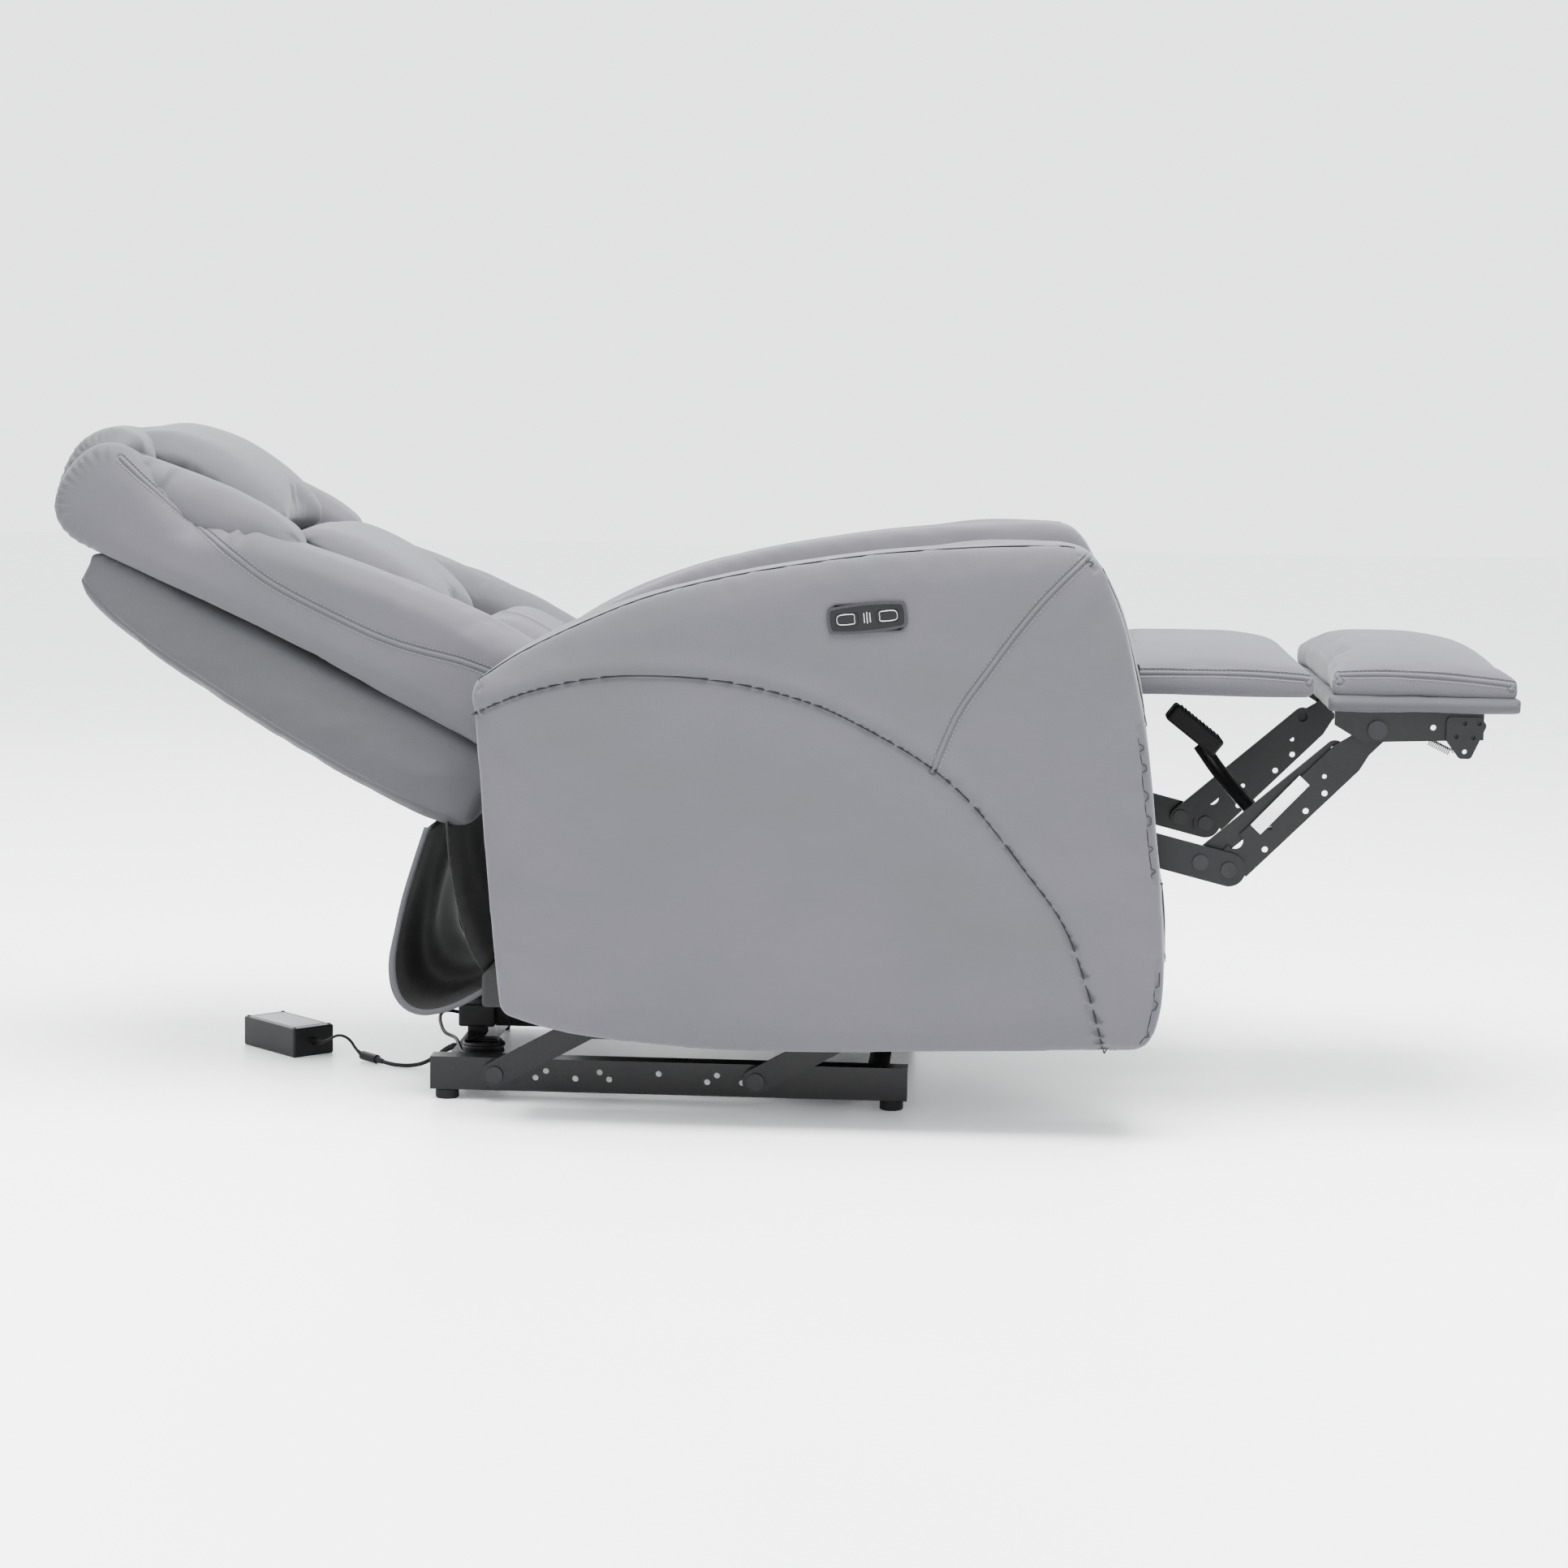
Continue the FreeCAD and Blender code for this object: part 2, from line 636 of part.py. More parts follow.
def button_guide(x, grow, y):
    half_x, half_z = BUTTON_LENGTH / 2 + grow, BUTTON_HEIGHT / 2 + grow
    guide = box((x - half_x, x + half_x), y, (-half_z, half_z))
    upright = [e for e in guide.Edges if abs(e.tangentAt(e.FirstParameter).y) > 0.99]
    return guide.makeFillet(4.0 + grow, upright)


def switch_housing():
    """Glossy switch body with a guide for each button."""
    inner = (SWITCH_LENGTH - 2 * BEZEL_W, SWITCH_HEIGHT - 2 * BEZEL_W)
    body = barrel(*inner, (-SWITCH_PROUD + 1.0, SWITCH_DEPTH))
    depth = BUTTON_DEPTH + BUTTON_TRAVEL + 1.0
    for x in (-BUTTON_OFFSET, BUTTON_OFFSET):
        body = body.cut(button_guide(x, SLIDE_CLEARANCE, (-SWITCH_PROUD - 1, depth)))
    return on_switch(body)


def switch_bezel():
    ring = barrel(SWITCH_LENGTH, SWITCH_HEIGHT, (-SWITCH_PROUD, 0))
    hole = barrel(SWITCH_LENGTH - 2 * BEZEL_W, SWITCH_HEIGHT - 2 * BEZEL_W, (-SWITCH_PROUD - 1, 1))
    return on_switch(ring.cut(hole))


def switch_button(x):
    return on_switch(button_guide(x, 0.0, (-SWITCH_PROUD, BUTTON_DEPTH - SWITCH_PROUD)))


# ---------------------------------------------------------------- footrest drive
def torque_tube():
    """Cross tube that turns both lower links, with the drive's crank."""
    y = (-LOWER[0], LOWER[0])
    tube = rod_y(*DRIVE_PIVOT, TORQUE_R, y)
    tip = polar(DRIVE_PIVOT, CRANK_LENGTH, CRANK_REST_DEG)
    for side in (-18.0, 12.0):
        tube = tube.fuse(link(DRIVE_PIVOT, tip, 24.0, (side, side + 6.0), ((tip, BOLT_R),)))
    tube = tube.cut(rod_y(*DRIVE_PIVOT, TORQUE_BORE_R, (y[0] - 1, y[1] + 1)))
    return tube


PARALLEL_PIVOT = polar(DRIVE_PIVOT, LOWER_LENGTH - PARALLEL_SETBACK, LOWER_REST_DEG)


def lower_links():
    holes = (
        (DRIVE_PIVOT, BOLT_R + PIN_CLEARANCE),
        (ELBOW, RIVET_R),
        (PARALLEL_PIVOT, RIVET_R),
    )
    return both(link(DRIVE_PIVOT, ELBOW, LOWER_WIDTH, LOWER, holes))


def lower_link_rivets():
    """Rivets that the upper and parallel links turn on."""
    elbow = rivet(ELBOW, (UPPER[0] - HEAD_GAP, LOWER[1]))
    second = rivet(PARALLEL_PIVOT, (PARALLEL[0] - HEAD_GAP, LOWER[1]))
    return both(group(elbow, second))


UPPER_DEG = math.degrees(math.atan2(KNEE[1] - ELBOW[1], KNEE[0] - ELBOW[0]))
UPPER_LENGTH = math.dist(ELBOW, KNEE)


def along_upper(distance, offset):
    """Point along the upper link and square to it."""
    return polar(polar(ELBOW, distance, UPPER_DEG), offset, UPPER_DEG + 90)


def upper_links():
    """Wide links with round ends, a row of holes and a notch for the second rivet."""
    holes = [(ELBOW, RIVET_R + PIN_CLEARANCE), (KNEE, RIVET_R)]
    for distance in (45.0, 108.0, 137.0):
        holes.append((along_upper(distance, -12.0), 3.4))
    for distance in (66.0, 150.0):
        holes.append((along_upper(distance, 2.0), 2.6))
    plate = link(ELBOW, KNEE, 30.0, UPPER)
    wide = [
        along_upper(8.0, -UPPER_WIDTH / 2),
        along_upper(UPPER_LENGTH - 46, -UPPER_WIDTH / 2),
        along_upper(UPPER_LENGTH - 26, -15.0),
        along_upper(UPPER_LENGTH - 26, 15.0),
        along_upper(UPPER_LENGTH - 46, UPPER_WIDTH / 2),
        along_upper(8.0, UPPER_WIDTH / 2),
    ]
    plate = plate.fuse(plate_xz(wide, UPPER)).removeSplitter()
    notch = polar(ELBOW, PARALLEL_SETBACK, UPPER_DEG + FOLDED_ELBOW_DEG)
    holes.append((notch, RIVET_R + NOTCH_CLEARANCE))
    for point, radius in holes:
        plate = plate.cut(rod_y(*point, radius, (UPPER[0] - 1, UPPER[1] + 1)))
    return both(plate)


def upper_link_rivets():
    return both(rivet(KNEE, (UPPER[0], LOWER[1] + HEAD_GAP), head=RIVET_HEAD_R + 2))


def bumper_tube():
    """Bent tube from the right upper link, running into the pad."""
    x, z = along_upper(62.0, -6.0)
    points = [
        (x, -UPPER[0], z),
        (x, -UPPER[0] + 46, z),
        (x - 7, -UPPER[0] + 88, z + 8),
        (x - 27, -UPPER[0] + 124, z + 28),
        (x - 51, BUMPER_Y - 8, z + 54),
        (x - 74, BUMPER_Y, z + 86),
    ]
    return tube_along(points, BUMPER_TUBE_R, "bumper_arm")


def bumper_arm():
    return bumper_tube().cut(bumper_pad())


def bumper_pad():
    """Rubber block on the end of the bent tube."""
    x, z = along_upper(62.0, -6.0)
    length, width, thick = BUMPER_PAD
    pad = soft(box((-length / 2, length / 2), (-width / 2, width / 2), (0, thick)), 4.0)
    pad.rotate(V(0, 0, 0), V(0, 1, 0), BUMPER_PAD_TILT_DEG)
    pad.translate(V(x - 88, BUMPER_Y, z + 95))
    return pad


def parallel_links():
    tip = polar(PARALLEL_PIVOT, PARALLEL_LENGTH, PARALLEL_REST_DEG)
    holes = ((PARALLEL_PIVOT, RIVET_R + PIN_CLEARANCE), (tip, RIVET_R + 1.0))
    return both(link(PARALLEL_PIVOT, tip, PARALLEL_WIDTH, PARALLEL, holes))


# ---------------------------------------------------------------- footrest
def footrest_brackets():
    """Angles under the footrest board, hung on the knee rivets."""
    top = FOOT_BOARD_BOTTOM_Z
    x = (FOOT_REAR_X + 12, KNEE[0] + 118)
    web = [
        (x[0], top - 16),
        (KNEE[0] - 16, KNEE[1] - 14),
        (x[1], KNEE[1] - 9),
        (x[1], top),
        (x[0], top),
    ]
    bracket = plate_xz(web, LOWER)
    bracket = bracket.fuse(box(x, (LOWER[0] - 26, LOWER[1]), (top - BRACKET_FLANGE_T, top)))
    bracket = bracket.removeSplitter()
    holes = ((KNEE, RIVET_R + PIN_CLEARANCE), ((KNEE[0] + 62, KNEE[1] + 4), 3.2))
    for point, radius in holes:
        bracket = bracket.cut(rod_y(*point, radius, (LOWER[0] - 1, LOWER[1] + 1)))
    return both(bracket)


def footrest_end_plates():
    """Three-cornered plates at the front of the brackets."""
    x = KNEE[0] + 76
    outline = [
        (x, KNEE[1] - 10),
        (x + 15, KNEE[1] - 30),
        (x + 28, KNEE[1] - 30),
        (x + 45, KNEE[1] + 8),
        (x + 38, KNEE[1] + 17),
        (x, KNEE[1] + 17),
    ]
    y = (LOWER[1], LOWER[1] + PLATE_T)
    plate = plate_xz(outline, y, 5.0)
    spots = ((21, -22), (30, -6), (36, 10), (20, 10), (11, -5))
    for dx, dz in spots:
        plate = plate.cut(rod_y(x + dx, KNEE[1] + dz, 2.6, (y[0] - 1, y[1] + 1)))
    return both(plate)


def footrest_end_springs():
    """Small return springs hooked under the brackets, as closed sleeves."""
    y = LOWER[0] - 4.5
    a = V(KNEE[0] + 58, y, KNEE[1] - 14)
    b = V(KNEE[0] + 84, y, KNEE[1] - 24)
    return both(Part.makeCylinder(4.0, (b - a).Length, a, b - a))


def footrest_board():
    x = (FOOT_REAR_X + 3, FOOT_FRONT_X - 2)
    z = (FOOT_BOARD_BOTTOM_Z, FOOT_BOARD_BOTTOM_Z + FOOT_BOARD_T)
    board = box(x, (-PAD_HALF + 3, PAD_HALF - 3), z)
    return soft(board, 3.0)


def footrest_cushion():
    bottom = FOOT_BOARD_BOTTOM_Z + FOOT_BOARD_T
    outline = [
        (FOOT_REAR_X, bottom),
        (FOOT_FRONT_X, bottom),
        (FOOT_FRONT_X, bottom + 32),
        (FOOT_FRONT_X - 70, PAD_TOP_Z),
        (FOOT_REAR_X + 30, PAD_TOP_Z),
        (FOOT_REAR_X, bottom + 40),
    ]
    return soft(plate_xz(outline, (-PAD_HALF, PAD_HALF)), 9.0)


# ---------------------------------------------------------------- middle pad
def mid_board():
    x = (MID_REAR_X + 8, MID_FRONT_X - 3)
    z = (PAD_BOTTOM_Z + 1, PAD_BOTTOM_Z + 1 + MID_BOARD_T)
    half = PAD_HALF - 2 * PLATE_T
    return box(x, (-half, half), z)


def mid_hinge_plates():
    """Steel straps on the board's ends that turn on the ears' pins."""
    half = PAD_HALF - 2 * PLATE_T
    x, z = MID_PIVOT
    bottom = PAD_BOTTOM_Z + 1
    outline = [
        (x - 12, bottom),
        (x + 70, bottom),
        (x + 70, bottom + MID_BOARD_T),
        (x + 12, z + 12),
        (x - 12, z + 12),
    ]
    strap = plate_xz(outline, (half, half + PLATE_T), 4.0)
    return both(strap.cut(rod_y(x, z, RIVET_R + PIN_CLEARANCE, (half - 1, half + PLATE_T + 1))))


def mid_cushion():
    outline = [
        (MID_REAR_X, PAD_BOTTOM_Z),
        (MID_FRONT_X, PAD_BOTTOM_Z),
        (MID_FRONT_X, PAD_TOP_Z - 14),
        (MID_FRONT_X - 40, PAD_TOP_Z),
        (MID_REAR_X + 10, PAD_TOP_Z),
        (MID_REAR_X, PAD_TOP_Z - 12),
    ]
    pad = soft(plate_xz(outline, (-PAD_HALF, PAD_HALF)), 8.0)
    half = PAD_HALF - 2 * PLATE_T
    x, z = MID_PIVOT
    straps = box((x - 13, x + 71), (half, PAD_HALF + 1), (PAD_BOTTOM_Z - 1, z + 13))
    board_z = (PAD_BOTTOM_Z - 1, PAD_BOTTOM_Z + 1 + MID_BOARD_T)
    under = box((MID_REAR_X - 1, MID_FRONT_X + 1), (-half, half), board_z)
    return pad.cut(straps).cut(mirrored(straps)).cut(under)


# ---------------------------------------------------------------- back
def back_point(along, up):
    """Point in the back's own axes: along it from the pivot, and square to it."""
    return polar(polar(BACK_PIVOT, along, 180 - BACK_SLOPE_DEG), up, 90 - BACK_SLOPE_DEG)


def back_slab(corners, y, radius=0.0):
    return plate_xz([back_point(*c) for c in corners], y, radius)


SPLIT = -BACK_SPLIT_DEPTH


FRAME_HALF = BACK_HALF - 20.0


def frame_bar(ends, y):
    """Flat bar in the joint between cushion and shell."""
    low, high = SPLIT - FRAME_T / 2, SPLIT + FRAME_T / 2
    return back_slab(((ends[0], low), (ends[1], low), (ends[1], high), (ends[0], high)), y)


def frame_pocket():
    """Space of the ladder frame, taken out of the parts around it."""
    return frame_bar(FRAME_ENDS, (-FRAME_HALF, FRAME_HALF))


def back_frame():
    """Ladder frame of two uprights and four rails."""
    inside = FRAME_HALF - FRAME_BAR
    pieces = list(both(frame_bar(FRAME_ENDS, (inside, FRAME_HALF))).Solids)
    rails = 4
    for i in range(rails):
        start = FRAME_ENDS[0] + i * (FRAME_ENDS[1] - FRAME_ENDS[0] - FRAME_BAR) / (rails - 1)
        pieces.append(frame_bar((start, start + FRAME_BAR), (-inside, inside)))
    return Part.makeCompound(pieces)


def back_hinge_ears():
    """Steel ears from the frame's uprights to the pivot bolts."""
    high = SPLIT + FRAME_T / 2
    outline = [
        back_point(-18, -18),
        back_point(60, high),
        back_point(150, high),
        back_point(18, 18),
        back_point(-18, 18),
    ]
    ear = plate_xz(outline, LOWER, 5.0)
    return both(ear.cut(rod_y(*BACK_PIVOT, BOLT_R + PIN_CLEARANCE, (LOWER[0] - 1, LOWER[1] + 1))))


def back_shell():
    """Upholstered panel behind the back."""
    outline = [
        back_point(72, SPLIT - 1),
        back_point(600, SPLIT - 1),
        back_point(610, SPLIT - 20),
        back_point(604, SPLIT - 42),
        back_point(524, SPLIT - 65),
        back_point(412, SPLIT - 80),
        back_point(303, SPLIT - 90),
        back_point(197, SPLIT - 93),
        back_point(116, SPLIT - 90),
        back_point(72, SPLIT - 76),
    ]
    half = BACK_HALF - 4.0
    shell = plate_xz(outline, (-half, half), 6.0)
    return shell.cut(frame_pocket())


def core_block():
    half = BACK_HALF - WING_WIDTH
    outline = [
        back_point(0, SPLIT + 1),
        back_point(597, SPLIT + 1),
        back_point(597, CORE_UP),
        back_point(0, CORE_UP),
    ]
    return plate_xz(outline, (-half, half))


def back_core():
    """Foam block behind the pillows."""
    return core_block().cut(frame_pocket())


def wing():
    """Left side bolster, from the headrest to the arm."""
    inner = BACK_HALF - WING_WIDTH
    outline = [
        back_point(70, SPLIT + 1),
        back_point(600, SPLIT + 1),
        back_point(652, SPLIT + 18),
        back_point(671, 0),
        back_point(662, 45),
        back_point(628, 78),
        back_point(520, 92),
        back_point(400, 98),
        back_point(200, 94),
        back_point(45, 84),
        back_point(45, 20),
    ]
    bolster = plate_xz(outline, (inner, BACK_HALF), 9.0)
    ear_outline = [
        back_point(-20, -22),
        back_point(60, SPLIT),
        back_point(156, SPLIT),
        back_point(156, SPLIT + FRAME_T / 2 + 2),
        back_point(22, 22),
    ]
    ear = plate_xz(ear_outline, (LOWER[0] - 0.5, LOWER[1] + 0.5))
    return bolster.cut(frame_pocket()).cut(ear)


def pillow(stations, radius):
    """Crowned pillow on the core; stations are (along, height) of its top line."""
    half = BACK_HALF - WING_WIDTH
    outline = [back_point(stations[0][0], CORE_UP)]
    outline += [back_point(along, up) for along, up in stations]
    outline += [back_point(stations[-1][0], CORE_UP)]
    return soft(plate_xz(outline, (-half, half)), radius)


def lower_pillow():
    """Lowest pillow, with the round end that turns beside the seat."""
    wide = LOWER[0] - 8.0
    narrow = BACK_HALF - WING_WIDTH
    r = BACK_END_R
    floor = SPLIT + 1
    toe = -math.sqrt(r ** 2 - floor ** 2)
    wing_end = 44.0

    def at(along, up):
        x, z = back_point(along, up)
        return V(x, 0, z)

    corners = [at(toe, floor), at(wing_end, floor), at(wing_end, r), at(0, r)]
    edges = [Part.makeLine(corners[i], corners[i + 1]) for i in range(3)]
    edges.append(Part.Arc(at(0, r), at(-r, 0), at(toe, floor)).toShape())
    end = slab_from(edges, (-wide, wide))
    top = [
        back_point(10, CORE_UP),
        back_point(10, r),
        back_point(45, 92),
        back_point(90, 114),
        back_point(150, 114),
        back_point(190, 94),
        back_point(204, 60),
        back_point(204, CORE_UP),
    ]
    pad = end.fuse(plate_xz(top, (-narrow, narrow))).removeSplitter()
    return pad.cut(core_block())


def head_roll():
    """Rounded end of the back above the headrest."""
    half = BACK_HALF - WING_WIDTH
    outline = [
        back_point(598, SPLIT + 1),
        back_point(640, SPLIT + 7),
        back_point(672, -25),
        back_point(688, 20),
        back_point(688, 60),
        back_point(668, 86),
        back_point(640, 92),
        back_point(598, 92),
    ]
    return plate_xz(outline, (-half, half), 6.0)


def rear_flap():
    """Slack fabric panel from the shell's lower edge to the low rear rail."""
    outer = [
        (-399.0, 314.0),
        (-428.0, 205.0),
        (-436.0, 157.0),
        (-424.0, 110.0),
        (-366.0, 112.0),
        (-332.0, 124.0),
    ]
    inner = [
        (-332.0, 127.0),
        (-366.0, 115.0),
        (-421.0, 113.0),
        (-433.0, 157.0),
        (-425.0, 205.0),
        (-396.0, 314.0),
    ]
    edges = [curve(outer), line(outer[-1], inner[0]), curve(inner), line(inner[-1], outer[0])]
    half = BACK_HALF - 6.0
    return slab_from(edges, (-half, half))


# ---------------------------------------------------------------- wiring
def turned(shape):
    """Places a piece drawn about the adapter's own centre on the floor."""
    shape.rotate(V(0, 0, 0), V(0, 0, 1), ADAPTER_TURN_DEG)
    shape.translate(V(ADAPTER_CENTRE[0], ADAPTER_CENTRE[1], 0))
    return shape


def adapter_case():
    x, y, z = ADAPTER
    case = soft(box((-x / 2, x / 2), (-y / 2, y / 2), (0, z)), 2.5)
    inlet = box((-x / 2 - 7, -x / 2 + 4), (-9, 9), (z / 2 - 4, z / 2 + 10))
    outlet = Part.makeCone(5.0, 3.0, 12, V(x / 2 - 1, 0, z / 2), V(1, 0, 0))
    return turned(case.fuse(inlet).fuse(outlet))


THIN_LEAD_ROUTE = [
    (-569.6, 0.6, 18.0),
    (-558.0, -11.0, 22.0),
    (-543.0, -14.0, 32.0),
    (-530.0, -8.0, 25.0),
    (-522.0, -8.0, 11.0),
    (-513.0, -16.0, 7.0),
]
LEAD_ROUTE = [
    (-492.0, -34.0, 6.0),
    (-481.0, -43.4, 4.2),
    (-466.0, -50.0, 2.8),
    (-448.0, -52.0, 2.8),
    (-432.0, -51.0, 6.0),
    (-416.0, -49.5, 16.0),
    (-404.0, -48.5, 25.0),
    (-395.0, -48.0, 28.0),
]
MOTOR_CABLE_ROUTE = [
    (-394.0, -12.0, 62.0),
    (-403.0, -21.0, 66.0),
    (-411.0, -35.0, 68.0),
    (-413.0, -53.0, 65.0),
    (-408.0, -74.0, 58.0),
    (-400.0, -94.0, 52.0),
    (-389.0, -112.0, 50.0),
    (-375.0, -126.0, 50.0),
    (-367.0, -138.0, 50.0),
]
BUNDLE_CENTRE = (-345.0, -154.0)
BUNDLE_R = 29.0


def lead_connector():
    """Plug and socket between the thin and the thick lead."""
    a, b = V(*THIN_LEAD_ROUTE[-1]), V(*LEAD_ROUTE[0])
    return Part.makeCylinder(5.5, (b - a).Length, a, b - a)


def power_gland():
    """Rubber gland on the rear cross tube where the lead goes in."""
    x, y, z = LEAD_ROUTE[-1]
    wall = CROSS_REAR_X - CROSS_TUBE / 2
    return Part.makeCone(3.5, 6.5, wall - x, V(x, y, z), V(1, 0, 0))


def cable_bundle():
    """Tied coil of spare cable that rests on the rear cross tube."""
    x, y = BUNDLE_CENTRE
    z = CROSS_Z[1]
    outer = Part.makeCylinder(BUNDLE_R, 17.0, V(x, y, z), V(0, 0, 1))
    inner = Part.makeCylinder(BUNDLE_R - 16.0, 19.0, V(x, y, z - 1), V(0, 0, 1))
    return outer.cut(inner)


NODE_MAKERS = {
    "base_rails": base_rails,
    "base_cross_tubes": base_cross_tubes,
    "base_feet": base_feet,
    "swing_base_pins": swing_base_pins,
    "drive_gearbox": drive_gearbox,
    "drive_motor": drive_motor,
    "screw_rail": screw_rail,
    "drive_slider": drive_slider,
    "front_swing_links": lambda: swing_links(SWING_FRONT),
    "rear_swing_links": lambda: swing_links(SWING_REAR),
    "side_plates": side_plates,
    "mechanism_bolts": mechanism_bolts,
    "mid_pad_brackets": mid_pad_brackets,
    "seat_side_boards": seat_side_boards,
    "seat_frame_rails": seat_frame_rails,
    "seat_springs": seat_springs,
    "seat_cushion": seat_cushion,
    "arm_frames": arm_frames,
    "arm_outer_left": arm_outer_pad,
    "arm_outer_right": lambda: mirrored(arm_outer_pad()).cut(switch_pocket()),
    "arm_inner_left": arm_inner_pad,
    "arm_inner_right": lambda: mirrored(arm_inner_pad()),
    "switch_housing": switch_housing,
    "switch_bezel": switch_bezel,
    "button_open": lambda: switch_button(-BUTTON_OFFSET),
    "button_close": lambda: switch_button(BUTTON_OFFSET),
    "torque_tube": torque_tube,
    "lower_links": lower_links,
    "lower_link_rivets": lower_link_rivets,
    "upper_links": upper_links,
    "upper_link_rivets": upper_link_rivets,
    "bumper_arm": bumper_arm,
    "bumper_pad": bumper_pad,
    "parallel_links": parallel_links,
    "footrest_brackets": footrest_brackets,
    "footrest_end_plates": footrest_end_plates,
    "footrest_end_springs": footrest_end_springs,
    "footrest_board": footrest_board,
    "footrest_cushion": footrest_cushion,
    "mid_board": mid_board,
    "mid_hinge_plates": mid_hinge_plates,
    "mid_cushion": mid_cushion,
    "back_frame": back_frame,
    "back_hinge_ears": back_hinge_ears,
    "back_shell": back_shell,
    "back_core": back_core,
    "wing_left": wing,
    "wing_right": lambda: mirrored(wing()),
    "head_pillow": lambda: pillow(HEAD_PILLOW, 9.0),
    "lumbar_pillow": lambda: pillow(LUMBAR_PILLOW, 9.0),
    "lower_pillow": lower_pillow,
    "head_roll": head_roll,
    "rear_flap": rear_flap,
    "adapter_case": adapter_case,
    "adapter_lead": lambda: tube_along(THIN_LEAD_ROUTE, THIN_LEAD_R, "adapter_lead"),
    "lead_connector": lead_connector,
    "power_lead": lambda: tube_along(LEAD_ROUTE, LEAD_R, "power_lead"),
    "power_gland": power_gland,
    "motor_cable": lambda: tube_along(MOTOR_CABLE_ROUTE, LEAD_R, "motor_cable"),
    "cable_bundle": cable_bundle,
}

os.makedirs("parts", exist_ok=True)
for name, make in NODE_MAKERS.items():
    shape = make()
    if not shape.isValid():
        print("not valid:", name)
    shape.exportStep("parts/" + name + ".step")
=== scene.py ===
import json
import math

import bmesh
import bpy
import numpy as np
from mathutils import Matrix, Vector, noise
from mathutils.bvhtree import BVHTree


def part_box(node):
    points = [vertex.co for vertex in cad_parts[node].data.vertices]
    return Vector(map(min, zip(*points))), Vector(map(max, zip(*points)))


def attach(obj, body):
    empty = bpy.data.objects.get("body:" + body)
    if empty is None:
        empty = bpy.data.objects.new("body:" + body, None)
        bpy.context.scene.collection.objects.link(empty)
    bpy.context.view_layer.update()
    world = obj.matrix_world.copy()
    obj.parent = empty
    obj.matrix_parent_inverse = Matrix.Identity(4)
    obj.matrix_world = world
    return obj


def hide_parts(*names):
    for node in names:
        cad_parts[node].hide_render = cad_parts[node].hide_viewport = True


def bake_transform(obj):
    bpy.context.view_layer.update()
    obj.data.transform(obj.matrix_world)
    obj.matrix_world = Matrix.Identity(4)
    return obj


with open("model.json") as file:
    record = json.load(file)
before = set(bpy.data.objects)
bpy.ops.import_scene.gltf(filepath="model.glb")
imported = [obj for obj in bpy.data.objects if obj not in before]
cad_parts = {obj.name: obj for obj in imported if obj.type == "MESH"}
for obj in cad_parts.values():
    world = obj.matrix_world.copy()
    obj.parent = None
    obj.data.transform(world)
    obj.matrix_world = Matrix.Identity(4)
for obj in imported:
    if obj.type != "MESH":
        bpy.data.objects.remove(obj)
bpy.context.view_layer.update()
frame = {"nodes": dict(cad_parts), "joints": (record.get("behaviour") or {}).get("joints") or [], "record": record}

# Power recliner armchair: looks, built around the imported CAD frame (metres).
JOINTS = {j["name"]: j for j in frame["joints"]}
MM = 0.001
BACK_PIVOT = JOINTS["back_recline"]["pos_m"]
BACK_SLOPE = math.radians(26.7)
ADAPTER_TURN = math.radians(-45.0)
SEAM_STEP = 0.004    # spacing of the points along a seam
OUTSIDE = 0.03       # where lines start before they are laid on a side face


# ---------------------------------------------------------------- camera
LENS_MM = 78.26
SENSOR_MM = 36.0
CAMERA_PLACE = (0.2321, -4.0531, 0.8164)
CAMERA_RIGHT = Vector((0.99806, 0.06045, 0.01500))
CAMERA_UP = Vector((-0.02180, 0.11357, 0.99329))


def make_camera():
    data = bpy.data.cameras.new("camera")
    data.lens = LENS_MM
    data.sensor_width = SENSOR_MM
    camera = bpy.data.objects.new("camera", data)
    bpy.context.collection.objects.link(camera)
    axes = (CAMERA_RIGHT, CAMERA_UP, CAMERA_RIGHT.cross(CAMERA_UP))
    turn = Matrix(axes).transposed().to_4x4()
    camera.matrix_world = Matrix.Translation(CAMERA_PLACE) @ turn
    bpy.context.scene.camera = camera


make_camera()


